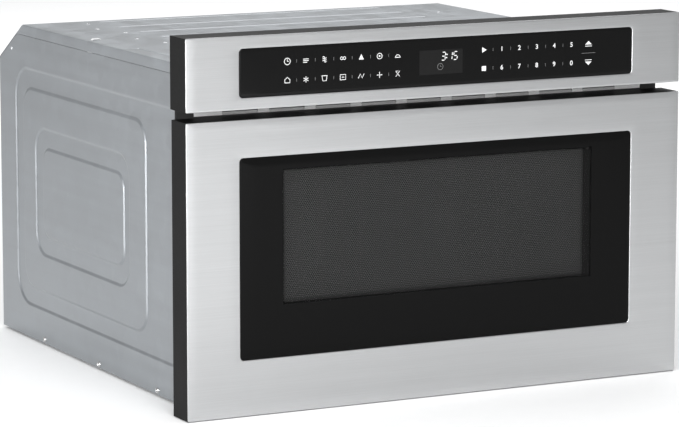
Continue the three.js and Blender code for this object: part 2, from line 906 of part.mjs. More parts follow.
function rearPanel() {
  const plate = wide(panHalf, at(rearPanelFront), at(rearPanelBack), bodyBottom, chamferLow - rearTopGap);
  const pocket = growing(
    [...around(recessX, recessWidth), ...around(recessZ, recessHeight)],
    recessCorner,
  );
  const face = at(rearPanelBack);
  const pressed = press(plate, "front", face, -1, pocket, recessDepth, recessSlope, sheet);
  const through = [at(rearPanelFront - over), at(rearPanelBack + over)];
  const slots = evenly(ventRows, ((ventRows - 1) * ventPitchZ) / 2).flatMap((rise) =>
    evenly(ventColumns, ((ventColumns - 1) * ventPitchX) / 2).map((shift) =>
      block(
        ...around(panHalf - ventEdge + shift, ventWidth),
        ...through,
        ...around(bodyBottom + ventRise + rise, ventHeight),
      ),
    ),
  );
  const floor = [at(recessFloor - sheet - over), at(recessFloor + over)];
  const hole = round("y", glandRadius, ...floor, recessX, recessZ);
  return cut(pressed, [...slots, hole]);
}

function frontFlange() {
  const half = frontHalf - flangeInset;
  const through = [at(flangeFront - over), at(flangeBack + over)];
  const plate = extrude(
    "front",
    roundedRect(-half, half, bodyBottom, controlTop - flangeDrop, flangeCorner),
    at(flangeFront),
    at(flangeBack),
  );
  const pads = sides.map((side) => {
    const inner = bodyHalf + cabinetGap;
    return block(
      ...ordered(side * inner, side * (inner + padWidth)),
      at(flangeBack - flangeSheet / 2),
      at(flangeBack + padRise),
      bodyBottom + padFoot,
      bodyTop - padWidth,
    );
  });
  const teethLow = rackTip - 2 * holeClear;
  const railHigh = railZ + railHeight / 2 + 2 * holeClear;
  const rackHigh = rackRoot + rackBody + 2 * holeClear;
  const inner = rackInner - holeClear;
  const railHoles = sides.flatMap((side) => [
    block(...ordered(side * inner, side * (outerFace + holeClear)), ...through, teethLow, railHigh),
    block(...ordered(side * (inner - rackWidth), side * (inner + over)), ...through, teethLow, rackHigh),
  ]);
  const prongHoles = prongLevels.map((z) =>
    block(
      ...around(hookX, prongWidth + 2 * holeClear),
      ...through,
      ...around(z, prongHeight + 2 * holeClear),
    ),
  );
  const ventHalf = stripHalf - stripEnd + ventMargin;
  const opening = roundedRect(-cavityHalf, cavityHalf, cavityBottom, cavityTop, openingCorner);
  return cut(join([plate, ...pads]), [
    extrude("front", opening, ...through),
    wide(ventHalf, ...through, stripLow, stripLow + slotSill + slotHeight),
    ...railHoles,
    ...prongHoles,
  ]);
}

function ventStrip() {
  const back = flangeFront - seat;
  const face = back - stripSheet;
  const sill = stripLow + slotSill;
  const strip = wide(stripHalf, at(face), at(back), stripLow, stripLow + stripHeight);
  const middles = evenly(slotCount, ((slotCount - 1) * slotPitch) / 2);
  const slots = middles.map((x) =>
    block(...around(x, slotWidth), at(face - over), at(back + over), sill, sill + slotHeight),
  );
  const lip = sideways([
    [face, sill - stripSheet],
    [back, sill - stripSheet],
    [back + louvreDepth, sill + louvreRise],
    [back + louvreDepth - stripSheet, sill + louvreRise + stripSheet],
    [face, sill],
  ]);
  const louvres = middles.map((x) => extrude("side", lip, ...around(x, slotWidth - 4 * fit)));
  return join([cut(strip, slots), ...louvres]);
}

// ---- Fronts ----

// The glass's outline, and openings that follow it.
const glassOutline = (low, high, grow = 0) =>
  growing([-glassWidth / 2, glassWidth / 2, low, high], glassCorner)(grow);

// A black plastic shell with a pocket and a ledge for the glass, open at the back.
function frontShell(z0, z1, depth, glassLow, glassHigh) {
  const front = skinSheet + seat;
  const pocketFloor = glassRecess + glassThickness + seat;
  const inner = [z0 + frameWall, z1 - frameWall];
  const ledge = [glassLow + glassLedge, glassHigh - glassLedge];
  return cut(wide(frontHalf, at(front), at(depth), z0, z1), [
    wide(frontHalf - frameWall, at(faceBack), at(depth + over), ...inner),
    extrude("front", glassOutline(glassLow, glassHigh, fit), at(-over), at(pocketFloor)),
    wide(glassWidth / 2 - glassLedge, at(0), at(faceBack + over), ...ledge),
  ]);
}

function controlHousing() {
  const shell = frontShell(controlBottom, controlTop, controlDepth, controlGlassLow, controlGlassHigh);
  const run = [at(faceBack - over), at(boardFront - seat)];
  const rows = [
    [controlBottom + frameWall / 2, controlGlassLow + glassLedge],
    [controlGlassHigh - glassLedge, controlTop - frameWall / 2],
  ];
  const posts = evenly(postCount, frontHalf - postSide).flatMap((x) =>
    rows.map((row) => block(...around(x, postWidth), ...run, ...row)),
  );
  const notch = wide(
    stripHalf + stripRoom,
    at(flangeFront - seat - stripSheet - stripNook),
    at(controlDepth + over),
    controlBottom - over,
    stripLow + stripHeight + fit,
  );
  return join([shell, ...posts]).subtract(notch);
}

function frontSkin(z0, z1, glassLow, glassHigh) {
  const outline = roundedRect(-frontHalf, frontHalf, z0, z1, skinCorner);
  const opening = glassOutline(glassLow, glassHigh, fit);
  return extrude("front", outline, at(0), at(skinSheet), skinBevel, [opening]);
}

const glassPane = (low, high) =>
  extrude("front", glassOutline(low, high), at(glassRecess), at(glassRecess + glassThickness), glassBevel);

function displayModule() {
  const middle = (controlGlassLow + controlGlassHigh) / 2;
  const front = glassRecess + glassThickness + seat;
  const body = wide(displayWidth / 2, at(front), at(boardFront - seat), ...around(middle, displayHeight));
  const window = wide(
    displayWidth / 2 - displayWall,
    at(front - over),
    at(front + displaySink),
    ...around(middle, displayHeight - 2 * displayWall),
  );
  return body.subtract(window);
}

function controlBoard() {
  const low = controlBottom + frameWall + boardGap;
  const high = controlTop - frameWall - boardGap;
  const half = frontHalf - boardSide;
  const back = boardFront + boardSheet;
  const middle = (low + high) / 2;
  const parts = boardParts.map(([share, width, height, depth]) =>
    block(
      ...around(share * half, width),
      at(back - boardSheet / 2),
      at(back + depth),
      ...around(middle, height),
    ),
  );
  return join([wide(half, at(boardFront), at(back), low, high), ...parts]);
}

function drawerFrame() {
  const shell = frontShell(drawerBottom, drawerTop, drawerFrontDepth, drawerGlassLow, drawerGlassHigh);
  const middle = (chokeOuter + frontHalf - frameWall) / 2;
  const centre = (drawerBottom + drawerTop) / 2;
  const posts = sides.flatMap((side) =>
    evenly(postRows, drawerFrontHeight / 2 - postEnd).map((shift) =>
      block(
        ...ordered(side * (middle - postWidth), side * (frontHalf - frameWall / 2)),
        at(faceBack - over),
        at(doorFront - seat),
        ...around(centre + shift, postWidth),
      ),
    ),
  );
  return join([shell, ...posts]);
}

// The perforated window screen: a shallow pan whose rim meets the door's rear sheet.
function drawerScreen() {
  const half = chokeInner - chokeSheet - screenGap;
  const rim = chokeGap - chokeSheet - screenGap;
  const box = [-half, half, cavityBottom - rim, cavityTop + rim];
  const outline = growing(box, screenCorner);
  const back = doorFront - seat;
  const pan = extrude("front", outline(0), at(screenFront), at(back), screenBevel);
  const hollow = extrude("front", outline(-screenSheet), at(screenFront + screenSheet), at(back + over));
  return pan.subtract(hollow);
}

// The choke channel's outer outline, drawn in by an inset.
const chokeRing = (inset) =>
  roundedRect(
    -chokeOuter + inset,
    chokeOuter - inset,
    cavityBottom - chokeGap - chokeWidth + inset,
    cavityTop + chokeGap + chokeWidth - inset,
    chokeCorner,
  );

// The door's rear sheet with the quarter-wave channel round the cavity opening and its comb.
function chokeFrame() {
  const half = frontHalf - frameWall - seat;
  const rim = frameWall + seat;
  const sheetOutline = roundedRect(-half, half, drawerBottom + rim, drawerTop - rim, doorCorner);
  const window = roundedRect(-windowHalf, windowHalf, windowLow, windowHigh, windowCorner);
  const wallRun = [at(chokeBottom), at(doorFront + doorSheet / 2)];
  const body = join([
    extrude("front", sheetOutline, at(doorFront), at(doorBack), 0, [window]),
    extrude("front", chokeRing(0), ...wallRun, 0, [chokeRing(chokeWidth)]),
  ]);
  const channel = extrude(
    "front",
    chokeRing(chokeSheet),
    at(chokeBottom + chokeSheet),
    at(doorBack + over),
    0,
    [chokeRing(chokeWidth - chokeSheet)],
  );
  const run = [at(chokeBottom + combFoot), at(doorFront - combTop)];
  const centre = (cavityBottom + cavityTop) / 2;
  const places = (reach) => {
    const most = Math.floor((reach - combEnd) / combPitch);
    return evenly(2 * most + 1, most * combPitch);
  };
  const levels = [cavityBottom - chokeGap, cavityTop + chokeGap];
  const slots = [
    ...places(chokeInner).flatMap((x) =>
      levels.map((z) => block(...around(x, combSlot), ...run, ...around(z, combCut))),
    ),
    ...places(cavityTop - centre).flatMap((z) =>
      sides.map((side) =>
        block(...around(side * chokeInner, combCut), ...run, ...around(centre + z, combSlot)),
      ),
    ),
  ];
  return cut(body, [channel, ...slots]);
}

function chokeCover() {
  const back = doorBack - chokeCoverSink;
  const rim = chokeSheet + seat;
  const run = [at(back - chokeCoverSheet), at(back)];
  return extrude("front", chokeRing(rim), ...run, 0, [chokeRing(chokeWidth - rim)]);
}

// ---- Cavity and cooking parts ----

// The port between the waveguide and the stirrer pocket, from low to high.
const guidePort = (low, high) =>
  block(
    guideLeft + portMargin,
    Math.min(pocketHalf, guideRight) - portMargin,
    at(pocketBack - portLength - portMargin),
    at(pocketBack - portMargin),
    low,
    high,
  );

function cavityShell() {
  const skinned = [at(pocketFront - sheet), at(pocketBack + sheet)];
  const lip = [cavityBottom - cavityLip, cavityTop + cavityLip];
  const back = at(cavityBack + sheet);
  const outer = join([
    wide(cavityHalf + sheet, at(bodyFront), back, cavityBottom - sheet, cavityTop + sheet),
    wide(cavityHalf + cavityLip, at(bodyFront), at(bodyFront + sheet), ...lip),
    wide(pocketHalf + sheet, ...skinned, cavityTop, pocketTop + sheet),
  ]);
  const roof = [pocketTop - over, pocketTop + sheet + over];
  const lampHoles = Array.from({ length: lampSlots }, (_, i) =>
    block(
      -cavityHalf - sheet - over,
      -cavityHalf + over,
      ...around(at(lampDepth), lampSlotLength),
      lampSlotLow + i * lampSlotPitch,
      lampSlotLow + i * lampSlotPitch + lampSlotHeight,
    ),
  );
  return cut(outer, [
    wide(cavityHalf, at(bodyFront - over), at(cavityBack), cavityBottom, cavityTop),
    wide(pocketHalf, at(pocketFront), at(pocketBack), cavityTop - over, pocketTop),
    guidePort(...roof),
    round("z", stirrerShaft + shaftClear, ...roof, 0, at(stirrerDepth)),
    ...lampHoles,
  ]);
}

function stirrerCover() {
  const half = pocketHalf + stirrerCoverLap;
  const run = [at(pocketFront - stirrerCoverLap), at(pocketBack + stirrerCoverLap)];
  const outline = roundedRect(-half, half, ...run, stirrerCoverCorner);
  const high = cavityTop - seat;
  return extrude("level", outline, high - stirrerCoverSheet, high, stirrerCoverBevel);
}

// Made about its own axis and set in place by the assembly.
function stirrerBlade() {
  const middle = cavityTop + pocketHeight / 2;
  const low = middle - stirrerHubHeight / 2;
  const hub = round("z", stirrerHub, low, low + stirrerHubHeight, 0, 0);
  const shaft = round("z", stirrerShaft, low, roofTop + stirrerGrip, 0, 0, smallSteps);
  const start = stirrerHub / 2;
  const arms = Array.from({ length: stirrerArms }, (_, i) => {
    const arm = new THREE.BoxGeometry(stirrerRadius - start, armWidth, armSheet);
    arm.rotateX(i % 2 ? armTilt : -armTilt);
    arm.translate((stirrerRadius + start) / 2, 0, middle);
    arm.rotateZ((i * 2 * Math.PI) / stirrerArms);
    return toSolid(arm);
  });
  return join([hub, shaft, ...arms]);
}

function stirrerMotor() {
  const y = at(stirrerDepth);
  const top = roofTop + stirrerMotorHeight;
  const radius = stirrerMotorRadius;
  const body = round("z", radius, roofTop, top, 0, y);
  const ears = wide(radius + earReach, ...around(y, earWidth), roofTop, roofTop + earSheet);
  const terminal = wide(
    terminalWidth / 2,
    y + radius - terminalInset,
    y + radius + terminalReach,
    roofTop + terminalInset,
    top - terminalInset,
  );
  const reach = roofTop + stirrerGrip + shaftClear;
  const bore = round("z", stirrerShaft + boreFit, roofTop - over, reach, 0, y);
  return join([body, ears, terminal]).subtract(bore);
}

function waveguide() {
  const run = [at(guideFront), at(guideBack)];
  const inside = [at(guideFront + guideWall), at(guideBack - guideWall)];
  const top = roofTop + guideHeight;
  const floor = [roofTop - over, roofTop + guideWall + over];
  const tube = block(guideLeft, guideRight, ...run, roofTop, top);
  const flange = block(
    guideLeft - guideFlange,
    guideRight + guideFlange,
    at(guideFront),
    at(guideFront + guideFlange),
    roofTop,
    roofTop + guideFlangeSheet,
  );
  return cut(join([tube, flange]), [
    block(guideLeft + guideWall, guideRight - guideWall, ...inside, roofTop + guideWall, top - guideWall),
    guidePort(...floor),
    round("z", antennaRadius + shaftClear, ...floor, magnetronX, at(magnetronMiddle)),
  ]);
}

function magnetron() {
  const top = roofTop - seat;
  const low = top - magnetronHeight;
  const y = at(magnetronMiddle);
  const acrossRun = around(magnetronX, magnetronWidth);
  const depthRun = around(y, magnetronDepth);
  const frame = block(...acrossRun, ...depthRun, low, top).subtract(
    block(
      ...around(magnetronX, magnetronWidth + 2 * over),
      ...around(y, magnetronDepth - 2 * magnetronWall),
      low + magnetronPlate,
      top - magnetronPlate,
    ),
  );
  const fins = evenly(finCount, ((finCount - 1) * finPitch) / 2).map((shift) =>
    block(
      ...around(magnetronX, magnetronWidth - 2 * finSide),
      ...around(y, magnetronDepth - magnetronWall),
      ...around((low + top) / 2 + shift, finSheet),
    ),
  );
  const magnets = [
    round("z", magnetRadius, low + over, low + over + magnetHeight, magnetronX, y),
    round("z", magnetRadius, top - over - magnetHeight, top - over, magnetronX, y),
  ];
  const filter = block(
    ...around(magnetronX, magnetronWidth - 2 * filterInset),
    ...around(y, magnetronDepth - 2 * filterEnd),
    low - filterHeight,
    low + over,
  );
  const core = round("z", coreRadius, low, top, magnetronX, y);
  const antenna = round("z", antennaRadius, top - over, top + antennaHeight, magnetronX, y, smallSteps);
  return join([frame, ...fins, core, ...magnets, antenna, filter]);
}

function fanShroud() {
  const y = at(magnetronMiddle);
  const half = fanFrame / 2;
  const end = fanX + fanDuct;
  const frame = block(fanX, end, ...around(y, fanFrame), ...around(fanZ, fanFrame));
  const ring = cut(frame, [
    round("x", fanRadius + fanPlate, fanX - over, end - fanPlate, y, fanZ, largeSteps),
    round("x", fanRadius, fanX, end + over, y, fanZ, largeSteps),
  ]);
  const arms = Array.from({ length: fanArms }, (_, i) => {
    const arm = new THREE.BoxGeometry(fanPlate, half, fanArm);
    arm.translate(0, half / 2, 0);
    arm.rotateX((i * 2 * Math.PI) / fanArms + Math.PI / 2);
    arm.translate(end - fanPlate / 2, y, fanZ);
    return toSolid(arm);
  });
  const mount = round("x", fanMount, end - fanPlate, end, y, fanZ);
  const x0 = fanX + legStart;
  const [y0, y1] = around(y, fanFrame - 2 * legInset);
  const legTop = fanZ - half + over;
  const legs = [
    block(x0, x0 + legSheet, y0, y1, foot, legTop),
    block(x0, x0 + legFoot, y0, y1, foot, foot + legSheet),
    block(x0, x0 + legGusset, y0, y0 + legSheet, foot, legTop),
    block(x0, x0 + legGusset, y1 - legSheet, y1, foot, legTop),
  ];
  const hole = round("x", fanShaft + over, fanX, end + over, y, fanZ, smallSteps);
  return join([ring, ...arms, mount, ...legs]).subtract(hole);
}

function fanWheel() {
  const y = at(magnetronMiddle);
  const x0 = fanX + bladeStart;
  const x1 = fanX + fanDuct - fanPlate - bladeEnd;
  const start = fanHub - bladeRoot;
  const twist = new THREE.Matrix4().makeRotationAxis(rearward, bladeTwist);
  const blades = Array.from({ length: fanBlades }, (_, i) => {
    const blade = new THREE.BoxGeometry(x1 - x0 - 2 * over, fanRadius - start, bladeSheet);
    blade.translate(0, (fanRadius + start) / 2 - bladeTip, 0);
    blade.applyMatrix4(twist);
    blade.rotateX((i * 2 * Math.PI) / fanBlades);
    blade.translate((x0 + x1) / 2, y, fanZ);
    return toSolid(blade);
  });
  const hub = round("x", fanHub, x0, x1, y, fanZ);
  const shaft = round("x", fanShaft, x0, fanX + fanDuct + fanShaftOut, y, fanZ, smallSteps);
  return join([hub, ...blades, shaft]);
}

function fanMotor() {
  const y = at(magnetronMiddle);
  const x0 = fanX + fanDuct + seat;
  const stackX = x0 + fanStackStart;
  const coilX = x0 + fanCoilStart;
  const stackRun = around(y, 2 * fanStackHalf);
  const coilRun = around(y, 2 * fanCoilHalf);
  const parts = [
    round("x", fanCanRadius, x0, x0 + fanCanLength, y, fanZ),
    block(stackX, stackX + fanStack, ...stackRun, fanZ - fanStackFoot, fanZ + fanStackTop),
    block(coilX, coilX + fanCoil, ...coilRun, fanZ - fanCoilFoot, fanZ - fanCoilTop),
  ];
  const reach = fanX + fanDuct + fanShaftOut + shaftClear;
  const bore = round("x", fanShaft + boreFit, x0 - over, reach, y, fanZ, smallSteps);
  return join(parts).subtract(bore);
}

function hvTransformer() {
  const y = at(transformerMiddle);
  const top = foot + transformerHeight;
  const half = transformerDepth / 2;
  const coreRun = around(y, transformerDepth - 2 * yoke);
  const winding = (z0, z1, reach) => {
    const sideRun = around(transformerX, transformerWidth - 2 * yoke);
    const outline = roundedRect(...sideRun, y - reach, y + reach, windingCorner);
    return extrude("level", outline, z0, z1, windingBevel);
  };
  const feet = around(transformerX, transformerWidth + 2 * footReach);
  return join([
    block(...around(transformerX, transformerWidth), ...coreRun, foot, top),
    winding(foot + yoke, foot + yoke + primaryHeight, half),
    winding(top - yoke - secondaryHeight, top - yoke, half - secondaryInset),
    block(...feet, ...coreRun, foot, foot + footSheet),
  ]);
}

function hvCapacitor() {
  const y = at(transformerMiddle);
  const outline = growing(
    [...around(0, capacitorWidth), ...around(y, capacitorDepth)],
    capacitorCorner,
  );
  const top = foot + capacitorHeight;
  const can = extrude("level", outline(0), foot, top, capacitorBevel);
  const strapLow = foot + strapRise;
  const strap = extrude("level", outline(strapSheet), strapLow, strapLow + strapHeight);
  const tags = sides.map((side) =>
    block(...around(side * tagSide, tagWidth), ...around(y, tagSheet), top - over, top + tagLength),
  );
  return join([can, ...tags, strap]);
}

function lineFilterBoard() {
  const back = rearPanelFront - seat;
  const face = back - studLength;
  const front = face + over - boardSheet;
  const x = recessX + filterBoardShift;
  const z = recessZ + filterBoardRise;
  const board = block(
    ...around(x, filterBoardWidth),
    at(front),
    at(face + over),
    ...around(z, filterBoardHeight),
  );
  const studX = filterBoardWidth / 2 - studInset;
  const studZ = filterBoardHeight / 2 - studInset;
  const studs = sides.flatMap((i) =>
    sides.map((j) => round("y", studRadius, at(face), at(back), x + i * studX, z + j * studZ, smallSteps)),
  );
  const [coilX, coilZ] = filterCoilPlace;
  const coil = round("y", filterCoilRadius, at(face - filterCoilDepth), at(face), x + coilX, z + coilZ);
  const boxes = filterBoxes.map(([dx, dz, width, height, depth]) =>
    block(...around(x + dx, width), at(face - depth), at(face), ...around(z + dz, height)),
  );
  return join([board, ...studs, coil, ...boxes]);
}

function lampHousing() {
  const wall = -cavityHalf - sheet - seat;
  const low = lampSlotLow - lampFoot;
  const y = at(lampDepth);
  const body = block(wall - lampReach, wall, ...around(y, lampLength), low, low + lampHeight);
  const hollow = block(
    wall - lampReach + lampWall,
    wall + over,
    ...around(y, lampLength - 2 * lampWall),
    low + lampWall,
    low + lampHeight - lampWall,
  );
  const bulbRun = [wall - lampReach + lampWall / 2, wall - bulbStart];
  const bulb = round("x", bulbRadius, ...bulbRun, y, low + lampHeight / 2);
  return join([body.subtract(hollow), bulb]);
}

// The cord's strain relief, made about Z from the recess floor's inner face outwards.
function cordGland() {
  const neck = glandRadius - fit;
  const collar = glandRadius + glandCollar;
  const outside = sheet + seat;
  return turned([
    [glandBore, -glandGrip],
    [glandBore + glandWall, -glandGrip],
    [neck, -seat - glandStep],
    [neck + glandBarb, -seat - glandStep],
    [neck + glandBarb, -seat],
    [neck, -seat],
    [neck, outside],
    [collar, outside],
    [collar, outside + glandStep],
    [glandBore + glandWall, outside + 2 * glandStep],
    [glandBore, outside + 2 * glandStep],
    [glandBore, -glandGrip],
  ]);
}

// ---- Rails and drive: right-hand pieces, mirrored for the left ----

function railBracket() {
  const start = railStart + bracketStart;
  const end = railEnd - bracketEnd;
  const run = [at(start), at(end)];
  const top = railZ + railHeight / 2 + bracketTop;
  const web = block(bracketFace, bracketFace + bracketSheet, ...run, foot, top);
  const base = block(bracketFace, bracketOuter, ...run, foot, foot + bracketSheet);
  const windowLevels = [foot + bracketWindowFoot, railZ - railHeight / 2 - bracketWindowTop];
  const through = [bracketFace - over, bracketFace + bracketSheet + over];
  const windows = Array.from({ length: bracketWindows }, (_, i) => {
    const middle = start + ((end - start) * (i + 0.5)) / bracketWindows;
    const run = around(at(middle), bracketWindow);
    return extrude("side", roundedRect(...run, ...windowLevels, bracketWindowCorner), ...through);
  });
  return cut(join([web, base]), windows);
}

// A rail section: an upright web, and a flange from x0 to x1 at its top and bottom.
function channelRail(web, x0, x1, height, start, end) {
  const run = [at(start), at(end)];
  const [low, high] = around(railZ, height);
  return join([
    block(web, web + railSheet, ...run, low, high),
    block(x0, x1, ...run, high - railSheet, high),
    block(x0, x1, ...run, low, low + railSheet),
  ]);
}

function outerRail() {
  const inner = outerFace - outerWidth;
  const [low, high] = around(railZ, railHeight);
  const run = [at(railStart), at(railEnd)];
  return join([
    channelRail(outerFace - railSheet, inner, outerFace, railHeight, railStart, railEnd),
    block(inner, inner + railSheet, ...run, high - railLip, high),
    block(inner, inner + railSheet, ...run, low, low + railLip),
    block(
      inner + railSheet,
      outerFace - railSheet / 2,
      at(railEnd - railStop),
      at(railEnd),
      low + railSheet / 2,
      high - railSheet / 2,
    ),
  ]);
}

function midRail() {
  const web = midFace - (midWidth + railSheet) / 2;
  return channelRail(web, midFace - midWidth, midFace, midHeight, railStart + midStart, railEnd - midEnd);
}

function innerRail() {
  const end = railEnd - innerEnd;
  const rail = channelRail(innerWeb, innerWeb, innerWeb + innerWidth, innerHeight, boxFront, end);
  const tab = block(
    innerWeb,
    innerWeb + innerTab,
    at(boxFront),
    at(boxFront + innerTabSheet),
    ...around(railZ, innerHeight),
  );
  return join([rail, tab]);
}

function rack() {
  const top = railZ + innerHeight / 2;
  const web = block(rackInner, rackOuter, at(boxFront), at(rackEnd), rackRoot, top);
  const plate = block(
    rackInner - rackWidth,
    rackOuter,
    at(boxFront),
    at(boxFront + rackPlate),
    rackRoot - rackPlateLap,
    top,
  );
  return join([rackTeeth(boxFront + rackPlate, rackEnd), web, plate]);
}

function shaftBearing() {
  const y = at(shaftDepth);
  const x1 = bracketFace - bearingEnd;
  const x0 = x1 - bearingWidth;
  const radius = shaftRadius + bearingWall;
  const bore = round("x", shaftRadius + boreFit, x0 - over, x1 + over, y, shaftZ);
  return join([
    round("x", radius, x0, x1, y, shaftZ),
    block(x0, x1, ...around(y, 2 * radius), foot, shaftZ),
    block(x0 - bearingWall, x1, ...around(y, 2 * bearingFoot), foot, foot + bearingFootSheet),
  ]).subtract(bore);
}

function crossShaft() {
  const half = bracketFace - shaftEnd;
  const y = at(shaftDepth);
  const collarEnd = drivenSide - gearWidth / 2 - seat;
  const collars = sides.map((side) => {
    const run = ordered(side * collarEnd, side * (collarEnd - collarLength));
    return round("x", shaftRadius + collarWall, ...run, y, shaftZ);
  });
  return join([round("x", shaftRadius, -half, half, y, shaftZ), ...collars]);
}

// Gears are made about their own middle and set in place by the assembly.
function motorGear() {
  const start = Math.PI + Math.PI / motorTeeth;
  const wheel = gear(driveModule, motorTeeth, start, gearWidth + motorGearSpare, 0);
  const reach = gearWidth / 2 + motorShaftReach;
  return join([wheel, round("x", motorShaft, 0, reach, 0, 0, smallSteps)]);
}

function motorBracket() {
  const y = at(motorDepth);
  const x0 = motorPlateX;
  const x1 = x0 + plateSheet;
  const run = [y - plateFront, y + plateRear];
  const plate = block(x0, x1, ...run, foot, shaftZ + motorRadius + bracketTop);
  const base = block(x0, x0 + plateBase, ...run, foot, foot + plateSheet);
  return cut(join([plate, base]), [
    round("x", motorCap, x0 - over, x1 + over, y, shaftZ),
    round("x", shaftRadius + collarWall, x0 - over, x1 + over, at(shaftDepth), shaftZ),
  ]);
}

function driveMotor() {
  const y = at(motorDepth);
  const x0 = motorPlateX + plateSheet + seat;
  const end = x0 + motorLength;
  const bore = round("x", motorShaft + boreFit, x0 - over, x0 + motorBore, y, shaftZ, smallSteps);
  return join([
    round("x", motorRadius + over, x0, x0 + gearboxLength, y, shaftZ),
    round("x", motorRadius - motorStep, x0 + gearboxLength - motorStep, end, y, shaftZ),
    round("x", motorCap, end - over, end + motorCapReach, y, shaftZ),
    block(
      end - over,
      end + brushReach,
      y + brushSide,
      y + brushSide + brushSheet,
      ...around(shaftZ, brushHeight),
    ),
  ]).subtract(bore);
}

// ---- Drawer box ----

function drawerBox() {
  const y0 = at(boxFront);
  const y1 = at(boxBack);
  const outline = growing([-boxHalf, boxHalf, y0, y1], boxCorner);
  const body = join([
    extrude("level", outline(0), boxBottom, boxTop),
    extrude("level", outline(boxRim), boxTop - boxRim, boxTop),
  ]);
  const tub = cut(body, [
    wide(frontHalf, at(0), y0, boxBottom - over, boxTop + over),
    extrude("level", outline(-boxWall), boxFloor, boxTop + over),
    wide(windowHalf - sightSide, y0 - over, y0 + boxWall + over, boxFloor + sightFoot, boxTop - sightTop),
  ]);
  const ribs = evenly(3, 2 * trayRibShare * boxHalf).map((x) =>
    block(
      ...around(x, trayRibWidth),
      y0 + trayRibEnd,
      y1 - trayRibEnd,
      boxFloor - boxWall / 2,
      boxFloor + trayRib,
    ),
  );
  return join([tub, ...ribs]);
}

function glassTray() {
  const low = boxFloor + trayRib + seat;
  const inset = boxWall + trayGap;
  const half = boxHalf - inset;
  const run = [at(boxFront + inset), at(boxBack - inset)];
  const outline = roundedRect(-half, half, ...run, boxCorner - trayCornerStep);
  return extrude("level", outline, low, low + trayThickness, trayBevel);
}

function latchHook() {
  const base = block(
    ...around(hookX, hookWidth),
    at(boxFront),
    at(boxFront + hookSheet),
    ...around(hookZ, hookSpread + 2 * hookMargin),
  );
  const prongs = prongLevels.map((z) => {
    const [low, high] = around(z, prongHeight);
    const outline = sideways([
      [boxFront + hookSheet / 2, low],
      [prongTip - prongNose, low],
      [prongTip, low + prongStep],
      [prongTip, high - prongStep / 2],
      [prongTip - prongBarb, high],
      [prongTip - prongBack, high - prongStep],
      [boxFront + hookSheet / 2, high - prongStep],
    ]);
    return extrude("side", outline, ...around(hookX, prongWidth));
  });
  return join([base, ...prongs]);
}

function interlockBracket() {
  const x0 = switchFace + seat;
  const x1 = x0 + switchBracketSheet;
  const levels = around(hookZ, hookSpread + switchHeight + 2 * switchBracketMargin);
  const back = switchFront + switchDepth + switchBracketEnd;
  const earBack = bodyFront + switchBracketSheet;
  const holes = prongLevels.map((z) =>
    block(
      ...around(hookX, prongWidth + 2 * prongClear),
      at(bodyFront - over),
      at(earBack + over),
      ...around(z, prongHeight + 2 * prongClear),
    ),
  );
  const plates = [
    block(x0, x1, at(bodyFront), at(back), ...levels),
    block(hookX - switchBracketEar, x1, at(bodyFront), at(earBack), ...levels),
  ];
  return cut(join(plates), holes);
}

function microSwitch(z) {
  const y0 = at(switchFront);
  const y1 = y0 + switchDepth;
  const outline = roundedRect(y0, y1, ...around(z, switchHeight), switchCorner);
  const body = extrude("side", outline, ...around(hookX, switchWidth));
  const tags = evenly(3, switchTagPitch).map((shift) =>
    block(
      ...around(hookX, tagWidth),
      y1 - over,
      y1 + switchTagLength,
      ...around(z + shift, tagSheet),
    ),
  );
  const reach = y0 + plungerLength + plungerTravel;
  const bore = round("y", plungerRadius + boreFit, y0 - over, reach, hookX, z, smallSteps);
  return join([body, ...tags]).subtract(bore);
}

const plunger = (z) =>
  round("y", plungerRadius, at(plungerTip), at(plungerTip + plungerLength), hookX, z, smallSteps);

// ---- Finishes ----

const finish = (color, roughness, metalness) =>
  new THREE.MeshStandardMaterial({ color, roughness, metalness });
const caseSteel = finish(0xa3a8ab, 0.45, 0.8);
const stainless = finish(0xc9cacb, 0.32, 1);
const blackPaint = finish(0x1d1d1e, 0.5, 0.1);
const blackPlastic = finish(0x303031, 0.55, 0);
const blackGlass = finish(0x0b0b0c, 0.06, 0);
const trayGlass = finish(0xe4e6e4, 0.2, 0);
const screenSteel = finish(0x3a3a3b, 0.5, 0.6);
const cavityPaint = finish(0x8f9294, 0.5, 0.2);
const zinc = finish(0xb9bcbe, 0.35, 0.9);
const boardGreen = finish(0x1f4a33, 0.6, 0);
const copper = finish(0x8a5a38, 0.4, 0.7);
const whitePlastic = finish(0xe6e4dc, 0.5, 0);
const mica = finish(0xcfc6b4, 0.7, 0);

// ---- Assembly ----

const oven = new THREE.Group();
const bodies = {
  cabinet: new THREE.Group(),
  drawer: new THREE.Group(),
  drive: new THREE.Group(),
};
oven.add(...Object.values(bodies));

function add(body, name, solid, material, place = [0, 0, 0]) {
  const mesh = new THREE.Mesh(toGeometry(solid), material);
  mesh.name = name;
  mesh.position.set(...place);
  bodies[body].add(mesh);
  return mesh;
}

// The right-hand piece as made, and the left as its mirror image.
function addPair(body, name, solid, material) {
  add(body, `right_${name}`, solid, material);
  add(body, `left_${name}`, solid, material).scale.x = -1;
}

const controlSkin = frontSkin(controlBottom, controlTop, controlGlassLow, controlGlassHigh);
const drawerSkin = frontSkin(drawerBottom, drawerTop, drawerGlassLow, drawerGlassHigh);

add("cabinet", "base_pan", basePan(), caseSteel);
addPair("cabinet", "side_panel", sidePanel(), caseSteel);
add("cabinet", "top_cover", topCover(), caseSteel);
add("cabinet", "rear_panel", rearPanel(), caseSteel);
add("cabinet", "front_flange", frontFlange(), blackPaint);
add("cabinet", "vent_strip", ventStrip(), zinc);
add("cabinet", "control_housing", controlHousing(), blackPlastic);
add("cabinet", "control_trim", controlSkin, stainless);
add("cabinet", "control_glass", glassPane(controlGlassLow, controlGlassHigh), blackGlass);
add("cabinet", "display_module", displayModule(), blackPlastic);
add("cabinet", "control_board", controlBoard(), boardGreen);

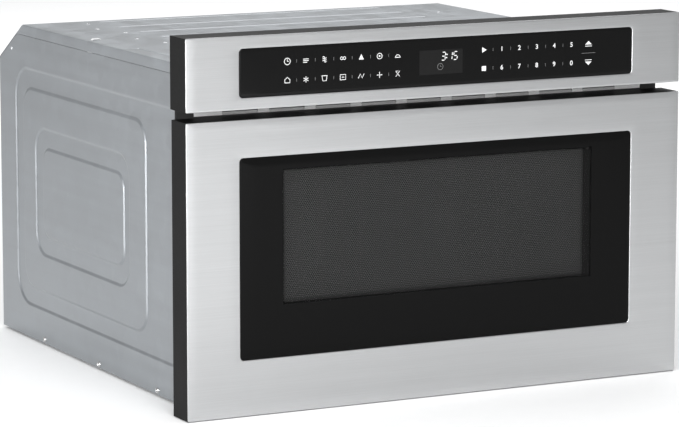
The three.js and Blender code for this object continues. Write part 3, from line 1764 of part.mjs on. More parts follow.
add("cabinet", "cavity_shell", cavityShell(), cavityPaint);
add("cabinet", "stirrer_cover", stirrerCover(), mica);
add("cabinet", "stirrer_motor", stirrerMotor(), zinc);
add("cabinet", "waveguide", waveguide(), zinc);
add("cabinet", "magnetron", magnetron(), zinc);
add("cabinet", "hv_transformer", hvTransformer(), copper);
add("cabinet", "hv_capacitor", hvCapacitor(), zinc);
add("cabinet", "fan_shroud", fanShroud(), blackPlastic);
add("cabinet", "fan_motor", fanMotor(), zinc);
add("cabinet", "line_filter_board", lineFilterBoard(), boardGreen);
add("cabinet", "lamp_housing", lampHousing(), whitePlastic);
const glandPlace = [recessX, at(recessFloor - sheet), recessZ];
add("cabinet", "cord_gland", cordGland(), blackPlastic, glandPlace).rotation.x = -Math.PI / 2;

addPair("cabinet", "rail_bracket", railBracket(), caseSteel);
addPair("cabinet", "outer_rail", outerRail(), zinc);
addPair("cabinet", "shaft_bearing", shaftBearing(), whitePlastic);
add("cabinet", "motor_bracket", motorBracket(), caseSteel);
add("cabinet", "drive_motor", driveMotor(), zinc);
add("cabinet", "interlock_bracket", interlockBracket(), caseSteel);
["monitor", "primary"].forEach((name, i) => {
  add("cabinet", `${name}_switch`, microSwitch(prongLevels[i]), blackPlastic);
  add("cabinet", `${name}_plunger`, plunger(prongLevels[i]), whitePlastic);
});

add("drawer", "drawer_skin", drawerSkin, stainless);
add("drawer", "drawer_frame", drawerFrame(), blackPlastic);
add("drawer", "drawer_glass", glassPane(drawerGlassLow, drawerGlassHigh), blackGlass);
add("drawer", "drawer_screen", drawerScreen(), screenSteel);
add("drawer", "choke_frame", chokeFrame(), blackPaint);
add("drawer", "choke_cover", chokeCover(), blackPlastic);
add("drawer", "drawer_box", drawerBox(), cavityPaint);
add("drawer", "glass_tray", glassTray(), trayGlass);
add("drawer", "latch_hook", latchHook(), whitePlastic);
addPair("drawer", "inner_rail", innerRail(), zinc);
addPair("drawer", "rack", rack(), whitePlastic);

addPair("drive", "mid_rail", midRail(), zinc);
add("drive", "cross_shaft", crossShaft(), zinc);
const shaftBore = shaftRadius + boreFit;
const pinion = gear(rackModule, pinionTeeth, Math.PI / 2, rackWidth, shaftBore);
const driven = gear(driveModule, drivenTeeth, 0, gearWidth, shaftBore);
add("drive", "right_pinion", pinion, whitePlastic, [rackMiddle, at(shaftDepth), shaftZ]);
add("drive", "left_pinion", pinion, whitePlastic, [-rackMiddle, at(shaftDepth), shaftZ]);
add("drive", "shaft_gear", driven, whitePlastic, [drivenSide, at(shaftDepth), shaftZ]);
add("drive", "motor_gear", motorGear(), whitePlastic, [drivenSide, at(motorDepth), shaftZ]);
add("drive", "fan_wheel", fanWheel(), whitePlastic);
add("drive", "stirrer_blade", stirrerBlade(), zinc, [0, at(stirrerDepth), 0]);

export default oven;
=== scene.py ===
import bpy
import json
import math
import numpy as np
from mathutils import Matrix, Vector

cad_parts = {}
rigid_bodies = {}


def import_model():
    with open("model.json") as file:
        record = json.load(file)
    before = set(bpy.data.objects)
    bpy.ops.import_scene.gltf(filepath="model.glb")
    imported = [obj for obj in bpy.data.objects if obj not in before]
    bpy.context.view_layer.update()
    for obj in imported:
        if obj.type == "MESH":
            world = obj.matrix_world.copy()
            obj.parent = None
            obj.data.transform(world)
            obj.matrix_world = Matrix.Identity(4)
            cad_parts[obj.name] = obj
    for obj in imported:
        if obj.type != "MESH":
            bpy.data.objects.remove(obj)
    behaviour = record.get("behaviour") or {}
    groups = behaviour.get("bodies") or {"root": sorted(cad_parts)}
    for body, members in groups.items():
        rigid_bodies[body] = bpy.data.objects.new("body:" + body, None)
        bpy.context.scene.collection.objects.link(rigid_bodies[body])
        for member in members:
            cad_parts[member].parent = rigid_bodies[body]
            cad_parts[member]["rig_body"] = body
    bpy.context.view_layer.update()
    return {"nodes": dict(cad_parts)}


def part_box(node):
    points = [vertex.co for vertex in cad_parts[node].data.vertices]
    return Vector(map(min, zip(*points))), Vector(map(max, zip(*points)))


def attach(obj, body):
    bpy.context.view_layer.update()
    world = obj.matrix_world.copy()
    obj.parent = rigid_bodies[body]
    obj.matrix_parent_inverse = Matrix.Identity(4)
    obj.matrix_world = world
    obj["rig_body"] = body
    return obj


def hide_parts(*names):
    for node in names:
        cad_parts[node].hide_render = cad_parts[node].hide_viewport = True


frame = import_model()
nodes = frame["nodes"]
print("the case and drawer are loaded,", len(nodes), "nodes")

mm = 0.001


def corners(node):
    # the low corner and the high corner of a node's box
    low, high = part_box(node)
    return np.array(low), np.array(high)


class Wire:
    # a socket that can be reckoned with: each operator adds one Math node
    def __init__(self, finish, socket):
        self.finish = finish
        self.socket = socket

    def reckon(self, operation, other=0.0, swapped=False):
        first, second = (other, self) if swapped else (self, other)
        return self.finish.node("Math", {"operation": operation}, {0: first, 1: second})

    def __add__(self, other): return self.reckon("ADD", other)
    def __radd__(self, other): return self.reckon("ADD", other, True)
    def __sub__(self, other): return self.reckon("SUBTRACT", other)
    def __rsub__(self, other): return self.reckon("SUBTRACT", other, True)
    def __mul__(self, other): return self.reckon("MULTIPLY", other)
    def __rmul__(self, other): return self.reckon("MULTIPLY", other, True)
    def below(self, other): return self.reckon("LESS_THAN", other)
    def above(self, other): return self.reckon("GREATER_THAN", other)
    def atLeast(self, other): return self.reckon("MAXIMUM", other)
    def atMost(self, other): return self.reckon("MINIMUM", other)
    def size(self): return self.reckon("ABSOLUTE")
    def root(self): return self.reckon("SQRT")
    def sine(self): return self.reckon("SINE")
    def wrap(self, period): return self.reckon("FLOORED_MODULO", period)


class Finish:
    # one material: a Principled shader, its fixed values, and the nodes that feed it
    def __init__(self, name, **fixed):
        self.material = bpy.data.materials.new(name)
        self.material.use_nodes = True
        self.tree = self.material.node_tree
        self.shader = next(n for n in self.tree.nodes if n.type == "BSDF_PRINCIPLED")
        for socket, value in fixed.items():
            self.shader.inputs[socket.replace("_", " ")].default_value = value

    def node(self, kind, settings=None, sockets=None, out=0):
        # any node: its settings are set first, then the values or links of its sockets
        made = self.tree.nodes.new("ShaderNode" + kind)
        for key, value in (settings or {}).items():
            setattr(made, key, value)
        for key, value in (sockets or {}).items():
            if isinstance(value, Wire):
                self.tree.links.new(value.socket, made.inputs[key])
            else:
                made.inputs[key].default_value = value
        return Wire(self, made.outputs[out])

    def place(self, stretch):
        # object coordinates times a stretch on each axis
        coords = self.node("TexCoord", out="Object")
        return self.node("Mapping", {}, {"Vector": coords, "Scale": stretch})

    def axes(self, vector=None):
        # the three parts of a place or a colour
        split = self.node("SeparateXYZ", {}, {0: vector or self.node("TexCoord", out="Object")})
        return [Wire(self, out) for out in split.socket.node.outputs]

    def noise(self, scale, stretch=(1, 1, 1), detail=3.0, rough=0.5):
        sockets = {"Vector": self.place(stretch), "Scale": scale, "Detail": detail, "Roughness": rough}
        return self.node("TexNoise", {}, sockets)

    def cells(self, scale, stretch=(1, 1, 1), out="Distance", feature="F1"):
        return self.node("TexVoronoi", {"feature": feature}, {"Vector": self.place(stretch), "Scale": scale}, out)

    def between(self, value, low, high, floor=0.0, ceiling=1.0):
        # a smooth step from floor to ceiling while the value goes from low to high
        sockets = {0: value, 1: low, 2: high, 3: floor, 4: ceiling}
        return self.node("MapRange", {"interpolation_type": "SMOOTHSTEP"}, sockets)

    def spread(self, cloud, floor=0.0, ceiling=1.0):
        # noise keeps near its middle, so that part is drawn out over the whole range
        return self.between(cloud, 0.2, 0.8, floor, ceiling)

    def mixColor(self, factor, first, second):
        pad = lambda c: c if isinstance(c, Wire) else (*c, 1)
        return self.node("Mix", {"data_type": "RGBA"}, {0: factor, 6: pad(first), 7: pad(second)}, 2)

    def feed(self, **wires):
        for socket, wire in wires.items():
            self.tree.links.new(wire.socket, self.shader.inputs[socket.replace("_", " ")])
        return self

    def dress(self, color, rough, relief=None, depth=0.0, strength=1.0):
        # colour and gloss, and a bump where there is a relief
        if relief is not None:
            self.feed(Normal=self.node("Bump", {}, {"Height": relief, "Distance": depth, "Strength": strength}))
        return self.feed(Base_Color=color, Roughness=rough)


def grey(level, tint=0.0):
    # a display grey from 0 to 255 as a linear colour: straight near black, a power of 2.4 above, bluer with more tint
    share = level / 255
    value = share / 12.92 if share <= 0.04045 else ((share + 0.055) / 1.055) ** 2.4
    return (value * (1 - tint), value, value * (1 + tint))


# the last two keys give the share and the darker grey of the painted shade on the pressed walls
steelLook = {"tint": 0.052, "metallic": 0.75, "clouds": 3.0, "spangle": 60.0, "rolling": 60.0, "scratches": 300.0,
             "scratchDepth": 0.03 * mm, "wallShade": 0.07, "wallDark": 0.6}


def zincCoatedSheet(name, dark, light, roughness):
    # rolled sheet: wide soft clouds, faint spangles of the zinc, and fine rolling lines along the depth; the points of
    # a pressed wall carry an attribute that takes the colour a little way to a darker one, which is painted shade
    s = steelLook
    sheet = Finish(name, Metallic=s["metallic"])
    clouds = sheet.noise(s["clouds"], detail=4)
    flake = sheet.axes(sheet.cells(s["spangle"], out="Color"))[0]
    rolling = sheet.noise(s["rolling"], stretch=(1, 0.03, 1.5), detail=4)
    tone = sheet.spread(clouds * 0.26 + flake * 0.2 + rolling * 0.54)
    color = sheet.mixColor(tone, grey(dark, s["tint"]), grey(light, s["tint"]))
    wall = sheet.node("Attribute", {"attribute_name": "wall"}, out="Fac")
    color = sheet.mixColor(wall * s["wallShade"], color, grey(dark * s["wallDark"], s["tint"]))
    rough = sheet.spread(flake * 0.3 + rolling * 0.7, roughness - 0.07, roughness + 0.08)
    scratches = sheet.noise(s["scratches"], stretch=(1, 0.04, 1), detail=2)
    return sheet.dress(color, rough, scratches, s["scratchDepth"], 0.2)


brushLook = {"dark": 183, "light": 194, "tint": 0.010, "gloss": 0.29, "matt": 0.36, "broad": 9.0, "lines": 90.0,
             "hair": 260.0, "depth": 0.02 * mm}


def brushedStainless(name):
    # long brush lines along the width: noise drawn out along X, in three grades of fineness
    b = brushLook
    steel = Finish(name, Metallic=1.0)
    broad = steel.noise(b["broad"], stretch=(0.5, 1, 14), detail=3)
    lines = steel.noise(b["lines"], stretch=(0.08, 1, 22), detail=4, rough=0.65)
    hair = steel.noise(b["hair"], stretch=(0.05, 1, 20), detail=2)
    tone = steel.between(broad * 0.14 + lines * 0.40 + hair * 0.46, 0.3, 0.7)
    color = steel.mixColor(tone, grey(b["dark"], b["tint"]), grey(b["light"], b["tint"]))
    brush = lines * 0.5 + hair * 0.5
    return steel.dress(color, steel.between(brush, 0.25, 0.75, b["gloss"], b["matt"]), brush, b["depth"], 0.3)


plasticLook = {"grain": 900.0, "grainDepth": 0.08 * mm, "mottle": 12.0, "gloss": 0.44, "matt": 0.6, "specular": 0.08}


def mouldedBlack(name, level):
    # moulded plastic: a fine leather grain and a little unevenness in gloss
    p = plasticLook
    plastic = Finish(name, Specular_IOR_Level=p["specular"])
    grain = plastic.cells(p["grain"])
    mottle = plastic.noise(p["mottle"], detail=3)
    color = plastic.mixColor(mottle, grey(level - 3), grey(level + 4))
    rough = plastic.between(mottle * 0.6 + grain * 0.4, 0.1, 0.9, p["gloss"], p["matt"])
    return plastic.dress(color, rough, grain, p["grainDepth"], 0.5)


paintLook = {"peel": 420.0, "peelDepth": 0.04 * mm, "clouds": 5.0, "gloss": 0.40, "matt": 0.52}


def satinPaint(name, level):
    # sprayed paint: orange peel and slow changes of tone
    p = paintLook
    paint = Finish(name, Coat_Weight=0.1, Coat_Roughness=0.3)
    peel = paint.noise(p["peel"], detail=1)
    clouds = paint.noise(p["clouds"], detail=4)
    color = paint.mixColor(clouds, grey(level - 4), grey(level + 5))
    return paint.dress(color, paint.spread(clouds * 0.7 + peel * 0.3, p["gloss"], p["matt"]), peel, p["peelDepth"], 0.4)


enamelLook = {"dark": 150, "light": 160, "tint": 0.02, "paleSpecks": 520.0, "paleSpeck": 196, "darkSpecks": 310.0,
              "darkSpeck": 96, "waves": 200.0, "waveDepth": 0.05 * mm}


def speckledEnamel(name):
    # cavity enamel: grey with fine light and dark specks, which are the middles of noise cells, and a soft gloss
    e = enamelLook
    enamel = Finish(name, Coat_Weight=0.25, Coat_Roughness=0.15)
    pale = enamel.cells(e["paleSpecks"]).below(0.13)
    dark = enamel.cells(e["darkSpecks"], stretch=(1.1, 0.9, 1)).below(0.1)
    clouds = enamel.noise(7.0, detail=3)
    base = enamel.mixColor(clouds, grey(e["dark"], e["tint"]), grey(e["light"], e["tint"]))
    color = enamel.mixColor(dark, enamel.mixColor(pale, base, grey(e["paleSpeck"])), grey(e["darkSpeck"]))
    return enamel.dress(color, enamel.spread(clouds, 0.28, 0.38), enamel.noise(e["waves"]), e["waveDepth"], 0.3)


platedLook = {"drawn": 180.0, "drawnDepth": 0.03 * mm, "clouds": 24.0}


def brightZinc(name, level=190, tint=0.03, roughness=0.3, metallic=1.0):
    # plated and drawn metal: drawing lines along the depth and cloudy plating
    zinc = Finish(name, Metallic=metallic)
    drawn = zinc.noise(platedLook["drawn"], stretch=(1, 0.04, 1), detail=3)
    clouds = zinc.noise(platedLook["clouds"], detail=4)
    color = zinc.mixColor(clouds * 0.6 + drawn * 0.4, grey(level - 16, tint), grey(level + 10, tint))
    rough = zinc.between(clouds, 0.25, 0.75, roughness - 0.06, roughness + 0.12)
    return zinc.dress(color, rough, drawn, platedLook["drawnDepth"], 0.4)


# the two middle greys are the painted shade under the slots and behind the front
ventLook = {"dark": 247, "light": 255, "lip": 205, "shade": 120, "front": 0.9 * mm, "soft": 0.5 * mm, "end": 33 * mm,
            "slot": 42 * mm, "slots": 9, "sill": 1.9 * mm}


def slottedZinc(name):
    # plated strip: light in front, painted shade on the bent edge under each slot, and painted shade on the lips behind
    # the front
    v = ventLook
    zinc = Finish(name, Metallic=0.1)
    x, y, z = zinc.axes()
    low, high = corners("vent_strip")
    # where the painted shade behind the front face begins
    behind = zinc.between(y, low[1] + v["front"], low[1] + v["front"] + v["soft"])
    pitch = (high[0] - low[0] - v["slot"] - 2 * v["end"]) / (v["slots"] - 1)
    # the bent edge below each slot, which takes painted shade
    under = (x.wrap(pitch) - pitch / 2).size().above(pitch / 2 - v["slot"] / 2) * z.below(low[2] + v["sill"])
    clouds = zinc.noise(platedLook["clouds"], detail=4)
    color = zinc.mixColor(clouds, grey(v["dark"]), grey(v["light"]))
    color = zinc.mixColor(under * x.size().below(high[0] - v["end"]), color, grey(v["lip"]))
    return zinc.dress(zinc.mixColor(behind, color, grey(v["shade"])), zinc.spread(clouds, 0.45, 0.6))


copperLook = {"dark": (0.12, 0.045, 0.02), "light": (0.36, 0.15, 0.06), "turns": 3600, "ridge": 0.2 * mm}


def copperWinding(name):
    # varnished turns of wire: ridges that follow the sine of the height, and a blotchy varnish
    coil = Finish(name, Metallic=0.6, Coat_Weight=0.4, Coat_Roughness=0.25)
    turns = (coil.axes()[2] * copperLook["turns"]).sine() * 0.5 + 0.5
    blotch = coil.noise(30.0, detail=3)
    color = coil.mixColor(turns * 0.4 + blotch * 0.6, copperLook["dark"], copperLook["light"])
    return coil.dress(color, coil.spread(blotch, 0.3, 0.5), turns, copperLook["ridge"], 0.7)


boardLook = {"pitch": 2.6 * mm, "track": 0.9 * mm, "mask": (0.010, 0.055, 0.028), "line": (0.022, 0.12, 0.055),
             "pad": (0.45, 0.43, 0.38), "relief": 0.1 * mm}


def circuitGreen(name):
    # solder mask with printed tracks: bands of a coarse square grid, switched on by cell noise
    board = Finish(name, Coat_Weight=0.3, Coat_Roughness=0.2)
    x, z = board.axes()[::2]
    pitch, width = boardLook["pitch"], boardLook["track"]
    cell = board.axes(board.cells(160.0, out="Color"))[0]
    trackX = x.wrap(pitch).below(width) * cell.above(0.55)
    trackZ = z.wrap(pitch).below(width) * cell.below(0.35)
    tracks = trackX.atLeast(trackZ)
    pads = board.cells(210.0).below(0.22)
    color = board.mixColor(tracks, boardLook["mask"], boardLook["line"])
    color = board.mixColor(pads, color, boardLook["pad"])
    return board.dress(color, board.between(tracks, 0, 1, 0.35, 0.5), tracks + pads, boardLook["relief"], 0.5)


nylonLook = {"dark": (0.66, 0.64, 0.58), "light": (0.78, 0.76, 0.70), "flow": 40.0, "flowDepth": 0.1 * mm}


def naturalNylon(name):
    # natural nylon: warm white, waxy, slightly mottled
    nylon = Finish(name, Subsurface_Weight=0.06, Subsurface_Radius=(0.004, 0.003, 0.002))
    flow = nylon.noise(nylonLook["flow"], stretch=(1, 0.5, 1), detail=3)
    color = nylon.mixColor(flow, nylonLook["dark"], nylonLook["light"])
    return nylon.dress(color, nylon.spread(flow, 0.38, 0.52), flow, nylonLook["flowDepth"], 0.3)


micaLook = {"dark": (0.42, 0.36, 0.27), "light": (0.66, 0.60, 0.49), "flakes": 260.0, "flakeDepth": 0.1 * mm}


def micaSheet(name):
    # pressed mica: shiny flakes in a tan binder
    mica = Finish(name, Coat_Weight=0.2, Coat_Roughness=0.3)
    flake = mica.axes(mica.cells(micaLook["flakes"], out="Color"))
    color = mica.mixColor(flake[0], micaLook["dark"], micaLook["light"])
    return mica.dress(color, mica.between(flake[1], 0, 1, 0.25, 0.6), flake[2], micaLook["flakeDepth"], 0.4)


opalLook = {"dark": (0.70, 0.72, 0.71), "light": (0.80, 0.81, 0.80), "ripple": 110.0, "rippleDepth": 0.15 * mm}


def opalTray(name):
    # glass-ceramic tray: milky, glossy, with a faint ripple underneath
    opal = Finish(name, Coat_Weight=0.5, Coat_Roughness=0.05, IOR=1.5)
    ripple = opal.cells(opalLook["ripple"], feature="SMOOTH_F1")
    color = opal.mixColor(ripple, opalLook["dark"], opalLook["light"])
    return opal.dress(color, opal.between(ripple, 0, 1, 0.12, 0.2), ripple, opalLook["rippleDepth"], 0.3)


rubberLook = {"dark": 34, "light": 52, "dust": 90.0, "dustDepth": 0.1 * mm}


def rubberBush(name):
    # dusty rubber: one fine noise lightens, dulls and roughens it together
    rubber = Finish(name)
    dust = rubber.noise(rubberLook["dust"], detail=5)
    color = rubber.mixColor(dust, grey(rubberLook["dark"]), grey(rubberLook["light"]))
    return rubber.dress(color, rubber.spread(dust, 0.6, 0.8), dust, rubberLook["dustDepth"], 0.4)


windowLook = {"clear": (190.2 * mm, 118.8 * mm, 263.9 * mm), "field": (182.8 * mm, 122.0 * mm, 260.4 * mm),
              "soft": 0.6 * mm, "showThrough": 0.78, "pitch": 2.3 * mm, "hole": 0.8 * mm, "rim": 0.1 * mm,
              "holeDepth": 0.4 * mm, "border": 56, "dark": 86, "light": 94, "inHole": 14}  # clear and field: half width, low and high


def boxMask(finish, x, z, half, low, high, soft):
    # one inside a rectangle of X and Z and nought outside: a smooth step of the greater overshoot, across or up
    across = x.size() - half
    up = (z - (low + high) / 2).size() - (high - low) / 2
    return finish.between(across.atLeast(up), -soft, soft, 1.0, 0.0)


glassLook = {"print": 12, "window": 10, "display": 24, "smear": 6.0}


def doorGlass(name):
    # dark glass whose front is printed black except over the window; the back face is clear all over
    glass = Finish(name, Specular_IOR_Level=0.06)
    x, y, z = glass.axes()
    low, high = corners("drawer_glass")
    clear = boxMask(glass, x, z, *windowLook["clear"], windowLook["soft"]).atLeast(y.above((low[1] + high[1]) / 2))
    smear = glass.noise(glassLook["smear"], detail=4)
    color = glass.mixColor(clear, grey(glassLook["print"]), grey(glassLook["window"]))
    rough = glass.between(smear, 0.3, 0.7, 0.05, 0.09)
    return glass.feed(Base_Color=color, Roughness=rough, Alpha=1 - clear * windowLook["showThrough"])


displayWindow = (26.5 * mm, 355.5 * mm, 381.8 * mm, 0.4 * mm)  # half width, low, high and softness


def panelGlass(name):
    # dark glass printed black behind; the display's window is a shade lighter
    glass = Finish(name, Specular_IOR_Level=0.13)
    x, z = glass.axes()[::2]
    clear = boxMask(glass, x, z, *displayWindow)
    smear = glass.noise(glassLook["smear"], detail=4)
    color = glass.mixColor(clear, grey(glassLook["print"]), grey(glassLook["display"]))
    return glass.feed(Base_Color=color, Roughness=glass.between(smear, 0.3, 0.7, 0.06, 0.1))


def perforatedScreen(name):
    # rows of round holes, each row half a pitch on from the last, with a plain border: a hole is where the lesser of
    # the distances to the nearest middles, in the even rows and the odd ones, is under its radius; each hole is painted
    # a dark grey, painted shade for the inside seen through it
    screen = Finish(name, Metallic=0.4)
    x, z = screen.axes()[::2]
    pitch, radius, rim = windowLook["pitch"], windowLook["hole"], windowLook["rim"]
    rise = pitch * 0.866  # the rows of a honeycomb
    evenX, evenZ = x.wrap(pitch) - pitch / 2, z.wrap(2 * rise) - rise / 2
    oddX, oddZ = (x + pitch / 2).wrap(pitch) - pitch / 2, (z - rise).wrap(2 * rise) - rise / 2
    even = (evenX * evenX + evenZ * evenZ).root()
    odd = (oddX * oddX + oddZ * oddZ).root()
    hole = screen.between(even.atMost(odd), radius - rim, radius + rim, 1.0, 0.0)
    field = boxMask(screen, x, z, *windowLook["field"], windowLook["soft"])
    holes = hole * field
    broad = screen.noise(8.0, detail=3)
    paint = screen.mixColor(broad, grey(windowLook["dark"]), grey(windowLook["light"]))
    # the holes take the dark grey of painted shade
    sheet = screen.mixColor(holes, paint, grey(windowLook["inHole"]))
    color = screen.mixColor(field, grey(windowLook["border"]), sheet)
    return screen.dress(color, screen.spread(broad, 0.45, 0.6), 1 - holes, windowLook["holeDepth"], 0.6)


def printedInk(name, level):
    # screen-printed ink: nearly flat, slightly uneven edges of gloss
    ink = Finish(name)
    uneven = ink.noise(700.0, detail=2)
    color = ink.mixColor(uneven, grey(level - 8), grey(level + 6))
    return ink.feed(Base_Color=color, Roughness=ink.spread(uneven, 0.4, 0.55))


def glowingSegment(name, level, strength):
    # a lit bar: its colour is also its glow, with a little cloud in it
    lamp = Finish(name, Roughness=0.4, Emission_Strength=strength)
    cloud = lamp.noise(500.0, detail=2)
    color = lamp.mixColor(cloud, grey(level - 10), grey(level + 5))
    return lamp.feed(Base_Color=color, Emission_Color=color)


def studioFloor(name):
    # white paper with a faint fibre
    paper = Finish(name)
    fibre = paper.noise(40.0, detail=5)
    color = paper.mixColor(fibre, grey(252), grey(255))
    return paper.feed(Base_Color=color, Roughness=paper.between(fibre, 0, 1, 0.85, 0.95))


caseSheet = zincCoatedSheet("caseSheet", 138, 154, 0.37)
coverSteel = zincCoatedSheet("coverSteel", 146, 163, 0.38)
innerSheet = zincCoatedSheet("innerSheet", 160, 182, 0.36)
frontSteel = brushedStainless("frontSteel")
frameBlack = mouldedBlack("frameBlack", 16)
sealFoam = mouldedBlack("sealFoam", 25)
flangeBlack = satinPaint("flangeBlack", 40)
chokeBlack = satinPaint("chokeBlack", 46)
cavityEnamel = speckledEnamel("cavityEnamel")
railZinc = brightZinc("railZinc")
ventZinc = slottedZinc("ventZinc")
motorZinc = brightZinc("motorZinc", level=176, tint=0.05, roughness=0.36)
shaftSteel = brightZinc("shaftSteel", level=200, tint=0.0, roughness=0.18)
finAluminium = brightZinc("finAluminium", level=214, tint=0.0, roughness=0.42)
windingCopper = copperWinding("windingCopper")
boardGreen = circuitGreen("boardGreen")
gearNylon = naturalNylon("gearNylon")
stirrerMica = micaSheet("stirrerMica")
trayOpal = opalTray("trayOpal")
bushRubber = rubberBush("bushRubber")
drawerGlass = doorGlass("drawerGlass")
controlGlass = panelGlass("controlGlass")
screenMetal = perforatedScreen("screenMetal")
whiteInk = printedInk("whiteInk", 208)
greyInk = printedInk("greyInk", 112)
clockGlow = glowingSegment("clockGlow", 205, 0.22)
clockDim = glowingSegment("clockDim", 120, 0.05)
screwZinc = brightZinc("screwZinc", level=222, tint=0.02, roughness=0.26, metallic=0.85)
sideScrewZinc = brightZinc("sideScrewZinc", level=196, tint=0.0, roughness=0.13)
# bare zinc made near-white and dull: a painted highlight for the glint on the lanced strip
bareZinc = brightZinc("bareZinc", level=236, tint=0.0, roughness=0.5, metallic=0.25)
ballSteel = brightZinc("ballSteel", level=214, tint=0.0, roughness=0.12)
studioPaper = studioFloor("studioPaper")

nodeFinishes = {
    coverSteel: "top_cover",
    caseSheet: "left_side_panel right_side_panel rear_panel base_pan",
    innerSheet: "left_rail_bracket right_rail_bracket motor_bracket interlock_bracket",
    flangeBlack: "front_flange",
    ventZinc: "vent_strip",
    frameBlack: "control_housing drawer_frame display_module fan_shroud primary_switch monitor_switch",
    frontSteel: "control_trim drawer_skin",
    controlGlass: "control_glass",
    drawerGlass: "drawer_glass",
    screenMetal: "drawer_screen",
    chokeBlack: "choke_frame choke_cover",
    cavityEnamel: "cavity_shell drawer_box",
    boardGreen: "control_board line_filter_board",
    stirrerMica: "stirrer_cover",
    motorZinc: "stirrer_motor fan_motor drive_motor hv_capacitor",
    finAluminium: "magnetron waveguide stirrer_blade",
    windingCopper: "hv_transformer",
    gearNylon: "lamp_housing left_shaft_bearing right_shaft_bearing left_rack right_rack latch_hook left_pinion "
               "right_pinion shaft_gear motor_gear fan_wheel primary_plunger monitor_plunger",
    bushRubber: "cord_gland",
    trayOpal: "glass_tray",
    railZinc: "left_outer_rail right_outer_rail left_mid_rail right_mid_rail left_inner_rail right_inner_rail",
    shaftSteel: "cross_shaft",
}
for finish, names in nodeFinishes.items():
    for name in names.split():
        nodes[name].data.materials.clear()
        nodes[name].data.materials.append(finish.material)
print("finishes are on", sum(len(names.split()) for names in nodeFinishes.values()), "nodes")


def gridFaces(rows, cols, start=0):
    # the four corners of every cell of a grid, by number
    index = start + np.arange(rows * cols).reshape(rows, cols)
    return np.stack([index[:-1, :-1], index[1:, :-1], index[1:, 1:], index[:-1, 1:]], -1).reshape(-1, 4)


def setPiece(name, mesh, finish):
    # a finished mesh stands in the scene as it is, at the origin
    mesh.materials.append(finish.material)
    piece = bpy.data.objects.new(name, mesh)
    bpy.context.scene.collection.objects.link(piece)
    return piece


def weaveSurface(name, grids, finish, body, stands=(), crease=32, paintedShades=None):
    # welds grids of points into one mesh; cells that have no area are dropped and a closed shell is turned outward
    points, faces, start = [], [], 0
    for grid in grids:
        rows, cols = grid.shape[:2]
        points.append(grid.reshape(-1, 3))
        faces.append(gridFaces(rows, cols, start))
        start += rows * cols
    points, faces = np.concatenate(points), np.concatenate(faces)
    points, back = np.unique(np.round(points, 7), axis=0, return_inverse=True)
    faces = back.reshape(-1)[faces]
    kept = faces != np.roll(faces, -1, axis=1)
    sides = kept.sum(1)
    quads, threes = faces[sides == 4], faces[sides == 3]
    threes = threes[kept[sides == 3]].reshape(-1, 3)
    fan = np.concatenate([quads[:, [0, 1, 2]], quads[:, [0, 2, 3]], threes])
    volume = np.einsum("ij,ij->i", points[fan[:, 0]], np.cross(points[fan[:, 1]], points[fan[:, 2]])).sum()
    if volume < 0:
        quads, threes = quads[:, ::-1], threes[:, ::-1]
    mesh = bpy.data.meshes.new(name)
    mesh.from_pydata(points.tolist(), [], quads.tolist() + threes.tolist())
    mesh.validate()
    mesh.polygons.foreach_set("use_smooth", np.ones(len(mesh.polygons), bool))
    mesh.set_sharp_from_angle(angle=math.radians(crease))
    # the attribute wall holds, for each point, how much painted shade the pressed walls get
    if paintedShades:
        shade = np.zeros(len(points))
        shade[back.reshape(-1)] = np.concatenate([np.asarray(part).reshape(-1) for part in paintedShades])
        mesh.attributes.new("wall", "FLOAT", "POINT").data.foreach_set("value", shade)
    piece = setPiece(name, mesh, finish)
    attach(piece, body)
    if stands:
        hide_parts(*stands)
    return piece


loopGrid = {"corner": 10, "side": 14}  # steps round each corner, and points on each side


def roundLoop(a0, a1, b0, b1, radius):
    # a rectangle's outline with round corners, anticlockwise and closed, with as many points for any size
    radius = max(min(radius, (a1 - a0) / 2, (b1 - b0) / 2), 1e-5)
    c0, c1, d0, d1 = a0 + radius, a1 - radius, b0 + radius, b1 - radius
    centres = np.array([(c1, d0), (c1, d1), (c0, d1), (c0, d0)])
    angles = np.radians(np.arange(4)[:, None] * 90 - 90 + np.linspace(0, 90, loopGrid["corner"] + 1))
    arcs = centres[:, None] + radius * np.stack([np.cos(angles), np.sin(angles)], -1)
    share = np.linspace(0, 1, loopGrid["side"] + 2)[1:-1, None]
    ends, starts = arcs[:, -1], np.roll(arcs[:, 0], -1, axis=0)
    sides = ends[:, None] * (1 - share) + starts[:, None] * share
    loop = np.concatenate([arcs, sides], 1).reshape(-1, 2)
    return np.concatenate([loop, loop[:1]])


def insetLoop(low, high, inset, corner, up=2):
    # the outline of a box in X and Z, or in X and Y, drawn in by an inset on every side
    return roundLoop(low[0] + inset, high[0] - inset, low[up] + inset, high[up] - inset, corner - inset)


def upright(loop, depth):
    # an outline in X and Z set at a depth
    return np.stack([loop[:, 0], np.full(len(loop), depth), loop[:, 1]], -1)


def sideways(loop, x):
    # an outline in Y and Z set at a place across
    return np.stack([np.full(len(loop), x), loop[:, 0], loop[:, 1]], -1)


def level(loop, z):
    # an outline in X and Y set at a height
    return np.stack([loop[:, 0], loop[:, 1], np.full(len(loop), z)], -1)


def blendLoops(first, last, count):
    # steps in a straight line from one outline to another, both ends included
    share = np.linspace(0, 1, count)[:, None, None]
    return first * (1 - share) + last * share


def shrunk(loop, share):
    # an outline drawn towards its own middle
    middle = (loop.min(0) + loop.max(0)) / 2
    return middle + (loop - middle) * share


def ease(share):
    # a smooth step from nought to one
    share = np.clip(share, 0, 1)
    return share * share * (3 - 2 * share)


skinShape = {"edge": 0.5 * mm, "innerEdge": 1.1 * mm, "edgeDepth": 0.8 * mm, "corner": 1.4 * mm, "steps": 7,
             "clear": 0.4 * mm, "glassCorner": 4.4 * mm}


